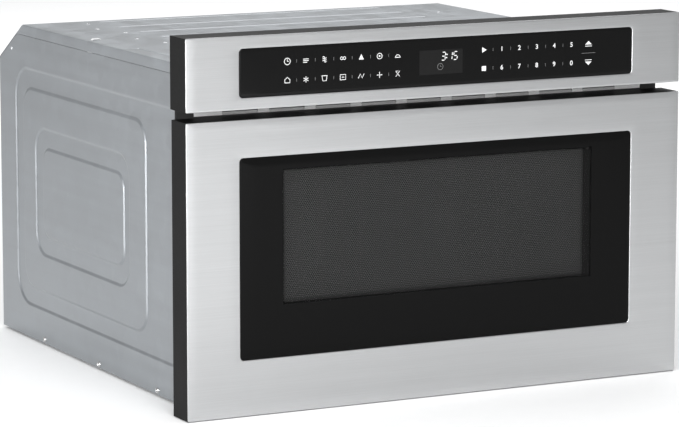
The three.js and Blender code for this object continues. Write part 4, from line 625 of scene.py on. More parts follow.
def stainlessFace(name, node, glassNode):
    # outline rows run from the back of the outer edge, round its quarter ellipse, over the face and round the inner
    # edge to the back again
    low, high = corners(node)
    glassLow, glassHigh = corners(glassNode)
    front, back = low[1], high[1]
    clear, edge, innerEdge = skinShape["clear"], skinShape["edge"], skinShape["innerEdge"]

    def outer(inset):
        return insetLoop(low, high, inset, skinShape["corner"])

    def inner(grow):
        return roundLoop(glassLow[0] - clear - grow, glassHigh[0] + clear + grow, glassLow[2] - clear - grow,
                         glassHigh[2] + clear + grow, skinShape["glassCorner"] + grow)

    def rounded(outline, edge, turns):
        depth = skinShape["edgeDepth"]
        return [upright(outline(edge * (1 - math.cos(t))), front + depth * (1 - math.sin(t))) for t in turns]

    turn = np.radians(np.linspace(0, 90, skinShape["steps"]))
    rows = [upright(outer(0), back)] + rounded(outer, edge, turn)
    rows += list(blendLoops(rows[-1], upright(inner(innerEdge), front), 6)[1:])
    rows += rounded(inner, innerEdge, turn[::-1][1:]) + [upright(inner(0), back), rows[0]]
    return weaveSurface(name, [np.stack(rows)], frontSteel, bodyOf(node), [node], 40)


def bodyOf(node):
    # the body that a node rides on
    return nodes[node]["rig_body"]


paneShape = {"edge": 0.7 * mm, "corner": 4 * mm, "steps": 5}


def glassPane(name, node, finish):
    # outline rows run from the middle of the front to its polished edge and on to the middle of the back
    low, high = corners(node)
    edge = paneShape["edge"]

    def ring(inset, depth):
        return upright(insetLoop(low, high, inset, paneShape["corner"]), depth)

    turn = np.radians(np.linspace(0, 90, paneShape["steps"]))
    front = [ring(edge * (1 - math.sin(t)), low[1] + edge * (1 - math.cos(t))) for t in turn]
    back = [ring(edge * (1 - math.sin(t)), high[1] - edge * (1 - math.cos(t))) for t in turn[::-1]]
    middle = [shrunk(front[0], s) * [1, 0, 1] + [0, low[1], 0] for s in (0, 0.5, 0.9)]
    rear = [shrunk(back[-1], s) * [1, 0, 1] + [0, high[1], 0] for s in (0.9, 0.5, 0)]
    return weaveSurface(name, [np.stack(middle + front + back + rear)], finish, bodyOf(node), [node], 50)


sealShape = {"half": 185.6 * mm, "low": 118.6 * mm, "high": 261.9 * mm, "corner": 3 * mm, "slope": 5 * mm,
             "width": 11 * mm, "front": 3.6 * mm, "hole": 8.6 * mm, "back": 10 * mm}


def windowSeal():
    # a foam frame between glass and screen: outline rows go up its bevel from the hole, out over its face and back
    s = sealShape
    front = corners("drawer_skin")[0][1]

    def ring(grow, depth):
        loop = roundLoop(-s["half"] - grow, s["half"] + grow, s["low"] - grow, s["high"] + grow, s["corner"] + grow)
        return upright(loop, front + s[depth])

    rows = [ring(0, "back"), ring(0, "hole"), ring(s["slope"], "front"), ring(s["width"], "front"),
            ring(s["width"], "back"), ring(0, "back")]
    return weaveSurface("windowSeal", [np.stack(rows)], sealFoam, "drawer", [], 30)


windowSeal()
stainlessFace("drawerFace", "drawer_skin", "drawer_glass")
stainlessFace("controlFace", "control_trim", "control_glass")
glassPane("drawerPane", "drawer_glass", drawerGlass)
glassPane("controlPane", "control_glass", controlGlass)
print("stainless faces and glass are made")


sideShape = {
    "sheet": 0.8 * mm, "depth": 1.5 * mm, "slope": 3.0 * mm, "rows": 8, "bend": 1.4 * mm,
    "front": 20.4 * mm, "rear": 48.1 * mm, "top": 36.6 * mm, "bottom": 37.9 * mm,
    "bandFront": 103.4 * mm, "band": 25.6 * mm, "landFront": 42.6 * mm, "landRear": 34 * mm, "land": 40 * mm,
    "innerBandFront": 18.2 * mm, "corner": 38 * mm, "innerCorner": 30 * mm, "flange": 16 * mm,
    "guard": 0.4 * mm, "soft": 0.5 * mm, "foot": 0.02 * mm,
}
coverShape = {"chamferDepth": 73.3 * mm, "chamferDrop": 44.6 * mm, "band": 12.1 * mm, "gap": 0.4 * mm,
              "sheet": 0.8 * mm, "play": 0.3 * mm}


def sidePanel(side):
    # outline rows lead from the cut edge over two pressed fields, each with a raised island, to the middle;
    # a wall between two levels is a smooth step of its sink against its inset
    node = ("left" if side < 0 else "right") + "_side_panel"
    low, high = corners(node)
    coverHigh = corners("top_cover")[1]
    face = max(abs(low[0]), abs(high[0]))
    s = sideShape
    y0, y1, z0 = low[1], high[1] - s["bend"], low[2]
    z1 = coverHigh[2] - coverShape["band"] - coverShape["gap"]
    rate = coverShape["chamferDrop"] / coverShape["chamferDepth"]
    edgeDrop = (s["sheet"] + coverShape["play"]) * math.hypot(1, rate)
    rearTop = coverHigh[2] - coverShape["chamferDrop"] - edgeDrop + s["bend"] * rate
    field = lambda box, grow, corner: roundLoop(*(np.array(box) + [-grow, grow, -grow, grow]), corner + grow)
    a = (y0 + s["front"], high[1] - s["rear"], z0 + s["bottom"], z1 - s["top"])
    b = (a[0] + s["bandFront"], a[1] - s["band"], a[2] + s["band"], a[3] - s["band"])
    c = (b[0] + s["landFront"], b[1] - s["landRear"], b[2] + s["land"], b[3] - s["land"])
    d = (c[0] + s["innerBandFront"], c[1] - s["band"], c[2] + s["band"], c[3] - s["band"])
    boundary = roundLoop(y0, y1, z0, z1, 0.3 * mm)
    perCorner, perSide = loopGrid["corner"] + 1, loopGrid["side"]
    chamferStart = y1 - (z1 - rearTop) / rate
    start = perCorner + perSide
    share = np.linspace(0, 1, perCorner)[:, None]
    boundary[start:start + perCorner] = np.array([y1, rearTop]) * (1 - share) + np.array([chamferStart, z1]) * share
    sideRise = np.linspace(0, 1, perSide + 2)[1:-1, None]
    boundary[perCorner:start] = boundary[perCorner - 1] * (1 - sideRise) + boundary[start] * sideRise
    topRun = boundary[start + perCorner - 1] * (1 - sideRise) + boundary[start + perCorner + perSide] * sideRise
    boundary[start + perCorner:start + perCorner + perSide] = topRun

    loops, sinks, shadeSteeps = [boundary], [0.0], {}

    def wall(box, corner, first, last, sinkFirst, sinkLast):
        guard = s["guard"] * math.copysign(1, first - last)
        loops.append(field(box, first + guard, corner))
        sinks.append(sinkFirst)
        for share in np.linspace(0, 1, s["rows"]):
            loops.append(field(box, first + (last - first) * share, corner))
            sinks.append(sinkFirst + (sinkLast - sinkFirst) * float(ease(share)))
            shadeSteeps[len(loops) - 1] = 4 * share * (1 - share)
        loops.append(field(box, last - guard, corner))
        sinks.append(sinkLast)

    soft = s["soft"]
    bCorner, dCorner = s["corner"] - s["band"] / 2, s["innerCorner"] - s["band"] / 2
    wall(a, s["corner"], soft, -s["slope"] - soft, 0, s["depth"])
    wall(b, bCorner, s["slope"] + soft, -soft, s["depth"], 0)
    wall(c, s["innerCorner"], soft, -s["slope"] - soft, 0, s["depth"])
    wall(d, dCorner, s["slope"] + soft, -soft, s["depth"], 0)
    for share in (0.7, 0.6, 0.0):
        loops.append(shrunk(loops[-1], share))
        sinks.append(0.0)
    outside = np.stack([sideways(loop, side * (face - sink)) for loop, sink in zip(loops, sinks)])
    inside = outside + np.array([-side * s["sheet"], 0, 0])
    grids = [outside[::-1], inside, np.stack([outside[0], inside[0]])]
    # each wall row's steepness becomes the weight of its painted shade
    shadePerLoop = np.array([shadeSteeps.get(i, 0.0) for i in range(len(loops))])
    paintedShades = [np.zeros(grid.shape[:2]) for grid in grids]
    paintedShades[0] += shadePerLoop[::-1, None]
    return weaveSurface(node + "_sheet", grids, caseSheet, "cabinet", [node], 30, paintedShades)


def rearFlange(side):
    # an L of sheet carried up the rear edge: its profile bends round a small radius
    node = ("left" if side < 0 else "right") + "_side_panel"
    low, high = corners(node)
    coverHigh = corners("top_cover")[1]
    face, back = max(abs(low[0]), abs(high[0])), high[1]
    sheet, bend = sideShape["sheet"], sideShape["bend"]
    rate = coverShape["chamferDrop"] / coverShape["chamferDepth"]
    top = coverHigh[2] - coverShape["chamferDrop"] - (sheet + coverShape["play"]) * math.hypot(1, rate)
    turn = np.radians(np.linspace(0, 90, 7))
    corner = np.array([face - bend, back - bend])
    arc = lambda r: np.stack([corner[0] + r * np.cos(turn), corner[1] + r * np.sin(turn)], -1)
    end = face - sideShape["flange"]
    outside = np.concatenate([arc(bend), [[end, back]]])
    inside = np.concatenate([[[end, back - sheet]], arc(bend - sheet)[::-1]])
    profile = np.concatenate([outside, inside, outside[:1]])
    foot, head = low[2] + sideShape["foot"], top - coverShape["play"]
    heights = (foot, foot, head, head)
    grid = np.stack([np.stack([side * profile[:, 0], profile[:, 1], np.full(len(profile), h)], -1) for h in heights])
    grid[0] = grid[0].mean(0)
    grid[-1] = grid[-1].mean(0)
    name = "rearFlange" + ("Left" if side < 0 else "Right")
    return weaveSurface(name, [grid], caseSheet, "cabinet", [], 30)


for side in (-1, 1):
    sidePanel(side)
    rearFlange(side)
print("side panels are pressed")


coverLook = {
    "ribs": 8, "ribWidth": 13 * mm, "ribEnd": 89.7 * mm, "ribDepth": 0.6 * mm,
    "ribFirst": 45.4 * mm, "ribLast": 18.3 * mm,
    "wall": 2.4 * mm, "bend": 1.6 * mm, "creaseReach": 188 * mm, "creaseSide": 20.5 * mm,
    "creaseWidth": 2.4 * mm, "creaseDepth": 1.0 * mm, "creaseRun": 4 * mm, "foldHalf": 2 * mm,
}
coverGrid = {"acrossRib": 19, "ribMargin": 2 * mm, "fold": 7, "creaseEnd": 9, "slope": 6, "ribEnd": 14, "crease": 13,
             "middle": 8, "edge": 3, "bend": 6}  # how many rows or columns each part of the cover has


def coverSink(x, y, low, high):
    # how deep the sheet is pressed: each bead is a capsule, sunk by a smooth step of the distance to its outline
    c = coverLook
    first = low[1] + c["ribFirst"]
    last = high[1] - coverShape["chamferDepth"] - c["ribLast"]
    places = np.linspace(first, last, c["ribs"])
    reach = high[0] - c["ribEnd"] - c["ribWidth"] / 2
    along = np.maximum(np.abs(x) - reach, 0)
    gap = np.min([np.hypot(along, y - place) for place in places], axis=0)
    beads = c["ribDepth"] * ease((c["ribWidth"] / 2 - gap) / c["wall"])
    crease = np.abs(np.abs(x) - (high[0] - c["creaseSide"]))
    run = ease((c["creaseReach"] - (y - low[1])) / c["creaseRun"])
    fold = c["creaseDepth"] * ease(1 - crease / c["creaseWidth"]) * run
    return beads + fold


def topCover():
    # stations run along the depth; at each, a profile goes up the left band, over the top and down the right band
    low, high = corners("top_cover")
    c, k, g = coverLook, coverShape, coverGrid
    half, top = high[0], high[2]
    slopeStart = high[1] - k["chamferDepth"]
    rate = k["chamferDrop"] / k["chamferDepth"]
    bend = c["bend"]
    places = np.linspace(low[1] + c["ribFirst"], slopeStart - c["ribLast"], c["ribs"])
    fine = np.linspace(-1, 1, g["acrossRib"]) * (c["ribWidth"] / 2 + g["ribMargin"])
    soften = slopeStart + np.linspace(-1, 1, g["fold"]) * c["foldHalf"]
    creaseEnd = low[1] + c["creaseReach"] + np.linspace(-5, 1, g["creaseEnd"]) * mm
    slope = np.linspace(soften[-1], high[1], g["slope"])
    stations = np.concatenate([[low[1]], (places[:, None] + fine).ravel(), creaseEnd, soften, slope])
    stations = np.unique(np.round(stations, 5))
    ends = half - c["ribEnd"] + np.linspace(-8, 1, g["ribEnd"]) * mm
    crease = half - c["creaseSide"] + np.linspace(-1.5, 1.5, g["crease"]) * c["creaseWidth"]
    middle, edge = np.linspace(0, ends[0], g["middle"]), np.linspace(crease[-1], half - bend, g["edge"])
    flat = np.unique(np.concatenate([middle, ends, crease, edge]))
    flat = np.concatenate([-flat[:0:-1], flat])
    turn = np.radians(np.linspace(0, 90, g["bend"]))
    roof = top - rate * np.maximum(stations - slopeStart, 0)
    near = np.maximum(c["foldHalf"] - np.abs(stations - slopeStart), 0)  # the fold into the slope is a parabola
    roof -= rate * near ** 2 / (4 * c["foldHalf"])
    band = np.minimum(top - k["band"], roof - k["sheet"] - bend)

    def profile(inset):
        # the same line drawn again inside the sheet for its inner face
        reach, radius = half - inset, max(bend - inset, 0.1 * mm)
        rows = []
        for y, z, foot in zip(stations, roof - inset, band):
            left = np.stack([-reach + radius * (1 - np.cos(turn)), z - radius * (1 - np.sin(turn))], -1)
            middle = np.stack([flat[1:-1], z - coverSink(flat[1:-1], y, low, high)], -1)
            right = left[::-1] * [-1, 1]
            line = np.concatenate([[[-reach, foot]], left, middle, right, [[reach, foot]]])
            rows.append(np.insert(line, 1, y, axis=1))
        return np.stack(rows)

    outside, inside = profile(0), profile(k["sheet"])
    rims = [np.stack([outside[0], inside[0]]), np.stack([inside[-1], outside[-1]])]
    rims += [np.stack([inside[:, 0], outside[:, 0]]), np.stack([outside[:, -1], inside[:, -1]])]
    grids = [outside, inside[:, ::-1], *rims]
    return weaveSurface("topCoverSheet", grids, coverSteel, "cabinet", ["top_cover"], 30)


bridgeLook = {"x": -265 * mm, "depth": 327 * mm, "length": 11 * mm, "width": 4.5 * mm, "rise": 1.6 * mm, "ramp": 0.16,
              "rows": 17}


def coverBridge():
    # a strip lanced out of the cover: a flat oblong section carried across over a smooth hump, with closed ends; its
    # bare zinc is made near-white and dull, a painted highlight for the glint on its top
    b = bridgeLook
    high = corners("top_cover")[1]
    share = np.linspace(0, 1, b["rows"])
    hump = b["rise"] * ease(np.minimum(share, 1 - share) / b["ramp"])
    x = b["x"] + (share - 0.5) * b["length"]
    middle = corners("drawer_skin")[0][1] + b["depth"]
    sheet = coverShape["sheet"]
    section = np.array([(-1, -1), (1, -1), (1, 0), (-1, 0), (-1, -1)]) * [b["width"] / 2, sheet]
    grid = np.stack([np.broadcast_to(x[:, None], (len(x), 5)), np.broadcast_to(middle + section[:, 0], (len(x), 5)),
                     high[2] + hump[:, None] + section[:, 1]], -1)
    ends = [np.broadcast_to(grid[end, :4].mean(0), grid[:1].shape) for end in (0, -1)]
    closed = np.concatenate([ends[0], grid, ends[1]])
    return weaveSurface("coverBridge", [closed], bareZinc, "cabinet", [], 30)


topCover()
coverBridge()
print("top cover is pressed")


screwLook = {"radius": 3.6 * mm, "rise": 2.0 * mm, "flatness": 3.2, "slotReach": 2.2 * mm, "slotHalf": 0.5 * mm,
             "slotDepth": 1.1 * mm, "slotWall": 0.35 * mm, "around": 32, "rows": 13}


def screwGrid(centre, facing, turn, radius, sink):
    # a pan head in polar rows, closed by its own foot: the height is a flattened dome less a cross recess
    look = screwLook
    share = np.linspace(0, 1, look["rows"])[:, None]
    angle = np.linspace(0, 2 * np.pi, look["around"] + 1)[None, :]
    a, b = share * radius * np.cos(angle), share * radius * np.sin(angle)
    dome = look["rise"] * np.sqrt(np.clip(1 - share ** look["flatness"], 0, 1)) * np.ones_like(angle)
    reach = look["slotReach"] * radius / look["radius"]
    bar = lambda p, q: np.maximum(np.abs(p) - look["slotHalf"], np.abs(q) - reach)
    recess = look["slotDepth"] * ease(0.3 - np.minimum(bar(a, b), bar(b, a)) / look["slotWall"])
    height = np.maximum(dome - recess * (share < 0.9), 0)
    facing = np.array(facing, float)
    side = np.cross(facing, [0, 0, 1] if abs(facing[2]) < 0.5 else [0, 1, 0])
    other = np.cross(facing, side)
    side, other = side * math.cos(turn) + other * math.sin(turn), other * math.cos(turn) - side * math.sin(turn)
    base = np.array(centre) - facing * sink
    head = base + a[..., None] * side + b[..., None] * other + height[..., None] * facing
    return np.concatenate([head, np.broadcast_to(base, head[:1].shape)])


coverScrewPlaces = [(-206.5, 487.6), (-220.4, 427.3), (-206.0, 378.7), (-220.6, 314.1), (-207.4, 264.9), (224.6, 418.2),
                    (220.6, 314.1), (207.4, 200.0), (-220.4, 140.0)]
sideScrewPlaces = [(136.1, 7.2), (298.2, 7.2), (460.3, 7.2)]
slopeScrewPlace = (551.6, 342.7)
rearScrewPlaces = [(-268, 40), (-268, 180), (-268, 300), (0, 40), (-90, 316), (90, 316),
                   (268, 40), (268, 180), (268, 300)]


screwKinds = {  # radius, how deep the head is sunk, and the turn from one screw to the next
    "cover": (3.0 * mm, 1.2 * mm, 0.7), "side": (3.6 * mm, 0.2 * mm, 0.5), "slope": (2.2 * mm, 1.2 * mm, 0.3),
    "rear": (3.4 * mm, 1.0 * mm, 0.9),
}


def caseScrews():
    # on the cover, both sides and the rear, each row turned a step on from screw to screw
    high = corners("top_cover")[1]
    front = corners("drawer_skin")[0][1]
    grids, sideGrids = [], []

    def screw(kind, place, facing, i):
        radius, sink, turn = screwKinds[kind]
        return screwGrid(place, facing, turn * i, radius, sink)

    for i, (x, depth) in enumerate(coverScrewPlaces):
        grids.append(screw("cover", (x * mm, front + depth * mm, high[2]), (0, 0, 1), i))
    for side in (-1, 1):
        for i, (depth, z) in enumerate(sideScrewPlaces):
            place = (side * high[0], front + depth * mm, z * mm)
            sideGrids.append(screw("side", place, (side, 0, 0), i))
        depth, z = slopeScrewPlace
        place = (side * high[0], front + depth * mm, z * mm)
        grids.append(screw("slope", place, (side, 0, 0), 1))
    back = corners("rear_panel")[1][1]
    for i, (x, z) in enumerate(rearScrewPlaces):
        grids.append(screw("rear", (x * mm, back, z * mm), (0, 1, 0), i))
    weaveSurface("caseScrews", grids, screwZinc, "cabinet", [], 35)
    weaveSurface("sideScrews", sideGrids, sideScrewZinc, "cabinet", [], 35)


caseScrews()
print("screws are in")

trayLook = {"corner": 11 * mm, "round": 2.2 * mm, "border": 9 * mm, "dish": 1.1 * mm, "steps": 7}


def opalPlate():
    # outline rows from the middle of the underside, round the edge by a half circle, over a low border to the
    # dished top
    t = trayLook
    low, high = corners("glass_tray")
    thick = high[2] - low[2]
    radius = min(t["round"], thick / 2)

    def ring(inset, z):
        return level(insetLoop(low, high, inset, t["corner"], 1), z)

    turn = np.radians(np.linspace(-90, 90, 2 * t["steps"] + 1))
    edge = [ring(radius * (1 - math.cos(a)), (low[2] + high[2]) / 2 + (thick / 2) * math.sin(a)) for a in turn]
    slope = np.linspace(0, 1, t["steps"])
    dish = [ring(t["border"] * (0.5 + 0.5 * a), high[2] - t["dish"] * float(ease(a))) for a in slope]
    under = [shrunk(edge[0], a) * [1, 1, 0] + [0, 0, low[2]] for a in (0, 0.5)]
    top = [shrunk(dish[-1], a) * [1, 1, 0] + [0, 0, high[2] - t["dish"]] for a in (0.6, 0)]
    rows = np.stack(under + edge + dish + top)
    return weaveSurface("opalPlate", [rows], trayOpal, "drawer", ["glass_tray"], 40)


opalPlate()

ballLook = {"radius": 1.1 * mm, "pitch": 9 * mm, "count": 14, "around": 10, "rows": 7, "margin": 6 * mm,
            "sheet": 1.4 * mm}


def ballGrid(centre, radius):
    # a sphere in rows from pole to pole
    look = ballLook
    rise = np.radians(np.linspace(-90, 90, look["rows"]))[:, None]
    turn = np.radians(np.linspace(0, 360, look["around"] + 1))[None, :]
    ball = np.stack([np.cos(rise) * np.cos(turn), np.cos(rise) * np.sin(turn), np.sin(rise) * np.ones_like(turn)], -1)
    return np.array(centre) + radius * ball


def railBalls(side):
    # rows of balls over and under the mid rail: those of the outer rail in its rear half, of the inner rail in front
    look = ballLook
    name = "left" if side < 0 else "right"
    outLow, outHigh = corners(name + "_outer_rail")
    midLow, midHigh = corners(name + "_mid_rail")
    inLow, inHigh = corners(name + "_inner_rail")
    sheet = look["sheet"]
    x = (midLow[0] + midHigh[0]) / 2
    run = np.arange(look["count"]) * look["pitch"]
    rear = midHigh[1] - look["margin"] - run
    front = midLow[1] + look["margin"] + run
    lanes = [((outHigh[2] - sheet + midHigh[2]) / 2, rear), ((outLow[2] + sheet + midLow[2]) / 2, rear),
             ((midHigh[2] - sheet + inHigh[2]) / 2, front), ((midLow[2] + sheet + inLow[2]) / 2, front)]
    grids = [ballGrid((x, y, z), look["radius"]) for z, places in lanes for y in places]
    return weaveSurface(name + "RailBalls", grids, ballSteel, name + "_mid", [], 60)


for side in (-1, 1):
    railBalls(side)
print("tray and rail balls are in")


inkLook = {"proud": 0.03 * mm, "thick": 0.02 * mm, "digitScale": 1.36, "digitSwell": 0.12 * mm, "digitThick": 0.01 * mm,
           "openTick": 8.8 * mm, "stroke": 0.7 * mm, "tick": 0.35 * mm, "tickHeight": 3.4 * mm, "digit": 5.2 * mm,
           "columnPitch": 22 * mm, "upper": 378.9 * mm, "lower": 358.6 * mm, "firstColumn": -185 * mm,
           "startColumn": 53 * mm, "firstDigit": 75.3 * mm, "openColumn": 185 * mm, "unit": 0.125 * mm}


def inkFront():
    # the depth of the glass's front
    return corners("control_glass")[0][1]


def inkStroke(points, width=None, closed=False):
    # a flat bar that follows a line: its four corners go round at every point, and open ends close on themselves
    points, width = np.asarray(points, float), width or inkLook["stroke"]
    if closed:
        points = np.concatenate([points, points[:1]])
        ahead = np.roll(points[:-1], -1, axis=0) - np.roll(points[:-1], 1, axis=0)
        ahead = np.concatenate([ahead, ahead[:1]])
    else:
        ahead = np.gradient(points, axis=0)
    ahead /= np.linalg.norm(ahead, axis=1)[:, None]
    side = np.stack([-ahead[:, 1], ahead[:, 0]], -1) * width / 2
    front = inkFront() - inkLook["proud"]
    back = front + inkLook["thick"]
    left, right = points + side, points - side
    ring = [upright(left, front), upright(right, front), upright(right, back), upright(left, back)]
    grid = np.stack(ring + ring[:1], 1)
    if closed:
        return grid
    cap = lambda end: np.broadcast_to(grid[end, :4].mean(0), grid[:1].shape)
    return np.concatenate([cap(0), grid, cap(-1)])


def inkPatch(outline):
    # a filled shape: rows from its middle to its outline in front, and from its outline to its middle behind
    outline = np.concatenate([outline, outline[:1]])
    front = inkFront() - inkLook["proud"]
    back = front + inkLook["thick"]
    middle = np.broadcast_to(outline[:-1].mean(0), outline.shape)
    return np.stack([upright(middle, front), upright(outline, front), upright(outline, back), upright(middle, back)])


def arcPoints(x, z, radius, first=0, last=360, count=24):
    # points on a circle by their angle in degrees
    angle = np.radians(np.linspace(first, last, count))
    return np.stack([x + radius * np.cos(angle), z + radius * np.sin(angle)], -1)


def ringInk(x, z, radius, width=None):
    # a circle's line, closed on itself
    return inkStroke(arcPoints(x, z, radius)[:-1], width, True)


def signInk(x, z, kind, *parts):
    # one mark of a sign, in eighths of a millimetre from the key's middle: a line or a filled patch through its points,
    # a ring by middle and radius, or an arc, which also has two angles and a count
    unit = inkLook["unit"]
    if kind in ("line", "patch"):
        return (inkStroke if kind == "line" else inkPatch)(np.array(parts) * unit + [x, z])
    across, up, radius, *sweep = parts
    where = (x + across * unit, z + up * unit, radius * unit)
    return ringInk(*where) if kind == "ring" else inkStroke(arcPoints(*where, *sweep))


plainSigns = [  # they stand for no maker's words
    [("ring", 0, 0, 28), ("line", (0, 18), (0, 0), (14, 0))],
    [("line", (-24, -20), (-24, 8), (0, 26), (24, 8), (24, -20), (-24, -20))],
    [("line", (-26, 12), (26, 12)), ("line", (-26, -2), (26, -2)), ("line", (-26, -16), (12, -16))],
    [("line", (0, -26), (0, 26)), ("line", (-23, -13), (23, 13)), ("line", (-23, 13), (23, -13))],
    [("arc", way * 8, up, 8, 180, end, 12) for way, end in ((-1, 0), (1, 360)) for up in (-16, 0, 16)],
    [("line", (-24, 22), (-16, -22), (16, -22), (24, 22)), ("line", (-28, 22), (28, 22))],
    [("ring", -12, 0, 12), ("ring", 14, 0, 12)],
    [("line", (-26, -22), (-26, 22), (26, 22), (26, -22), (-26, -22)), ("line", (-12, 0), (12, 0))],
    [("patch", (0, 26), (-24, -20), (24, -20))],
    [("line", (-28, -18), (-10, 18), (8, -18), (26, 18))],
    [("ring", 0, 0, 24), ("patch", (-7, -7), (7, -7), (7, 7), (-7, 7))],
    [("line", (-26, 0), (26, 0)), ("line", (0, -26), (0, 26))],
    [("line", (-28, -20), (28, -20)), ("arc", 0, -20, 22, 0, 180, 18)],
    [("line", (-20, 24), (20, 24), (-20, -24), (20, -24), (-20, 24))],
]
startStop = [[("patch", (-18, -24), (26, 0), (-18, 24))], [("patch", (-21, -21), (21, -21), (21, 21), (-21, 21))]]
openClose = [[("patch", (0, 26 * way), (-34, -6 * way), (34, -6 * way)), ("line", (-34, -20 * way), (34, -20 * way))]
             for way in (1, -1)]


def keyPrint():
    # signs stand in two rows, and their columns follow each other by one pitch
    k = inkLook
    grids = []
    for x, signs in ((k["firstColumn"], plainSigns), (k["startColumn"], startStop), (k["openColumn"], openClose)):
        for i, marks in enumerate(signs):
            z = (k["upper"], k["lower"])[i % 2]
            grids += [signInk(x + i // 2 * k["columnPitch"], z, *mark) for mark in marks]
    return weaveSurface("keySigns", grids, whiteInk, "cabinet", [], 30)


def keyTicks():
    # short upright lines halfway between the keys, and one level line between open and close
    k = inkLook
    places = [k["firstColumn"] + (i + 0.5) * k["columnPitch"] for i in range(6)]
    places += [k["firstDigit"] + (i - 0.5) * k["columnPitch"] for i in range(5)]
    grids = []
    for x in places:
        for z in (k["upper"], k["lower"]):
            grids.append(inkStroke([(x, z - k["tickHeight"] / 2), (x, z + k["tickHeight"] / 2)], k["tick"]))
    middle, half = (k["upper"] + k["lower"]) / 2, k["openTick"]
    grids.append(inkStroke([(k["openColumn"] - half, middle), (k["openColumn"] + half, middle)], k["tick"]))
    return weaveSurface("keyTicks", grids, greyInk, "cabinet", [], 30)


def keyDigits():
    # plain numbers, made as text, turned into flat sheets with a little body and set on their keys
    k = inkLook
    front = inkFront() - k["proud"]
    allPoints, allFaces, start = [], [], 0
    for i, sign in enumerate("1234567890"):
        text = bpy.data.curves.new("digit", "FONT")
        text.body, text.size, text.align_x, text.align_y = sign, k["digit"] * k["digitScale"], "CENTER", "CENTER"
        text.extrude = k["digitThick"]
        text.offset = k["digitSwell"]
        carrier = bpy.data.objects.new("digit", text)
        mesh = bpy.data.meshes.new_from_object(carrier)
        flat = np.empty(len(mesh.vertices) * 3)
        mesh.vertices.foreach_get("co", flat)
        flat = flat.reshape(-1, 3)
        x = k["firstDigit"] + (i % 5) * k["columnPitch"]
        z = (k["upper"], k["lower"])[i // 5]
        allPoints.append(np.stack([flat[:, 0] + x, front + k["digitThick"] - flat[:, 2], flat[:, 1] + z], -1))
        allFaces += [[start + v for v in face.vertices] for face in mesh.polygons]
        start += len(flat)
        bpy.data.objects.remove(carrier)
        bpy.data.curves.remove(text)
        bpy.data.meshes.remove(mesh)
    mesh = bpy.data.meshes.new("keyDigits")
    mesh.from_pydata(np.concatenate(allPoints).tolist(), [], allFaces)
    piece = setPiece("keyDigits", mesh, whiteInk)
    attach(piece, "cabinet")


clockLook = {"figures": "315", "places": (0, 1.25, 2.2), "dots": (0.3, 0.7),  # in figure pitches and heights
             "height": 8.6 * mm, "width": 4.5 * mm, "bar": 0.9 * mm, "slant": 0.12, "pitch": 6.7 * mm, "left": 0.2 * mm,
             "foot": 370.4 * mm, "gap": 0.25 * mm, "dot": 0.7 * mm, "dotBack": 0.4 * mm, "faint": 0.35 * mm,
             "longHand": 1.9 * mm, "shortHand": 1.5 * mm, "ringX": -1 * mm, "ringZ": 363.6 * mm, "ring": 3.4 * mm}
segments = {"a": ((0, 2), (1, 2)), "b": ((1, 1), (1, 2)), "c": ((1, 0), (1, 1)), "d": ((0, 0), (1, 0)),
            "e": ((0, 0), (0, 1)), "f": ((0, 1), (0, 2)), "g": ((0, 1), (1, 1))}
litSegments = {"3": "abgcd", "1": "bc", "5": "afgcd"}


def clockReadout():
    # three slanted figures of seven bars each, a colon and a small ring
    k = clockLook
    grids = []
    for place, figure in zip(k["places"], k["figures"]):
        for name in litSegments[figure]:
            ends = np.array(segments[name], float) * [k["width"], k["height"] / 2]
            way = (ends[1] - ends[0]) / np.linalg.norm(ends[1] - ends[0])
            ends = ends + np.array([way, -way]) * (k["bar"] / 2 + k["gap"])
            ends[:, 0] += k["left"] + place * k["pitch"] + ends[:, 1] * k["slant"]
            ends[:, 1] += k["foot"]
            grids.append(inkStroke(ends, k["bar"]))
    for share in k["dots"]:
        x = k["left"] + k["pitch"] + share * k["height"] * k["slant"] - k["dotBack"]
        grids.append(inkPatch(arcPoints(x, k["foot"] + share * k["height"], k["dot"])[:-1]))
    weaveSurface("clockFigures", grids, clockGlow, "cabinet", [], 30)
    x, z = k["ringX"], k["ringZ"]
    hands = [(x, z + k["longHand"]), (x, z), (x + k["shortHand"], z)]
    faint = [ringInk(x, z, k["ring"], k["faint"]), inkStroke(hands, k["faint"])]
    weaveSurface("clockRing", faint, clockDim, "cabinet", [], 30)


keyPrint()
keyTicks()
keyDigits()
clockReadout()
print("the control glass is printed")


cameraSpot = {"place": (-1.82326, -3.63655, 0.81319), "yaw": 26.9703, "pitch": 9.115, "lens": 187.868, "sensor": 36,
              "near": 0.1, "far": 60}


def setCamera():
    # it looks along its yaw, to the right of straight in, and its pitch, down from level
    yaw, pitch = math.radians(cameraSpot["yaw"]), math.radians(cameraSpot["pitch"])
    ahead = Vector((math.sin(yaw) * math.cos(pitch), math.cos(yaw) * math.cos(pitch), -math.sin(pitch)))
    data = bpy.data.cameras.new("studioCamera")
    data.lens, data.sensor_width = cameraSpot["lens"], cameraSpot["sensor"]
    data.clip_start, data.clip_end = cameraSpot["near"], cameraSpot["far"]
    camera = bpy.data.objects.new("studioCamera", data)
    camera.location = cameraSpot["place"]
    camera.rotation_mode = "QUATERNION"
    camera.rotation_quaternion = ahead.to_track_quat("-Z", "Y")
    bpy.context.scene.collection.objects.link(camera)
    bpy.context.scene.camera = camera


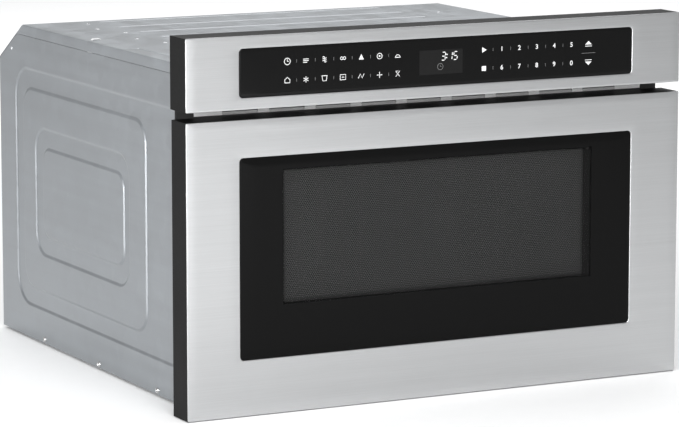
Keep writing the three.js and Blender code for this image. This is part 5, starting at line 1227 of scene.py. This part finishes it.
lights = {
    "frontLeft": {"place": (-2.4, -1.6, 0.9), "aim": (-0.2, 0, 0.2), "size": (0.7, 0.7), "power": 40},
    "lowLeft": {"place": (-2.9, 0.2, 0.14), "aim": (-0.28, 0, 0.2), "size": (0.4, 0.2), "power": 20},
    "overFront": {"place": (-0.9, -1.9, 1.6), "aim": (-0.9, -1.9, 0), "size": (1.4, 1.4), "power": 27},
    "gapFront": {"place": (-1.2, -2.5, 0.16), "aim": (-0.1, 0, 0.33), "size": (0.6, 0.15), "power": 14},
    "overLeft": {"place": (-1.6, 2.3, 2.1), "aim": (-0.3, 0.2, 0.2), "size": (2.0, 2.0), "power": 6},
    "lowFront": {"place": (-0.4, -2.6, 0.9), "aim": (-0.4, -1.2, 0), "size": (1.2, 0.5), "power": 27},
    "overRear": {"place": (1.4, 2.4, 2.6), "aim": (1.4, 2.4, 0), "size": (3.0, 2.4), "power": 64},
}


def hangLight(name, look):
    # a bright oblong turned to its aim, and not seen itself
    data = bpy.data.lights.new(name, "AREA")
    data.shape = "RECTANGLE"
    data.size, data.size_y = look["size"]
    data.energy = look["power"]
    lamp = bpy.data.objects.new(name, data)
    lamp.location = look["place"]
    lamp.rotation_mode = "QUATERNION"
    lamp.rotation_quaternion = (Vector(look["aim"]) - Vector(look["place"])).to_track_quat("-Z", "Y")
    lamp.visible_camera = False
    bpy.context.scene.collection.objects.link(lamp)


stageLook = {"floor": 30, "floorDrop": 0.2 * mm, "sky": (0.98, 0.99, 1.0, 1), "skyStrength": 0.50}


def layFloor():
    # a wide level sheet just under the skids
    share = np.linspace(-1, 1, 9)
    x, y = np.meshgrid(share * stageLook["floor"], share * stageLook["floor"], indexing="ij")
    grid = np.stack([x, y, np.full_like(x, -stageLook["floorDrop"])], -1)
    mesh = bpy.data.meshes.new("studioFloor")
    mesh.from_pydata(grid.reshape(-1, 3).tolist(), [], gridFaces(*grid.shape[:2]).tolist())
    floor = setPiece("studioFloor", mesh, studioPaper)


def setWorld():
    # even light from all round, a little cool
    world = bpy.data.worlds.new("studioWorld")
    world.use_nodes = True
    back = world.node_tree.nodes["Background"]
    back.inputs["Color"].default_value = stageLook["sky"]
    back.inputs["Strength"].default_value = stageLook["skyStrength"]
    bpy.context.scene.world = world
    bpy.context.scene.view_settings.view_transform = "Standard"


setCamera()
for name, look in lights.items():
    hangLight(name, look)
layFloor()
setWorld()
print("camera, lights and floor are set")
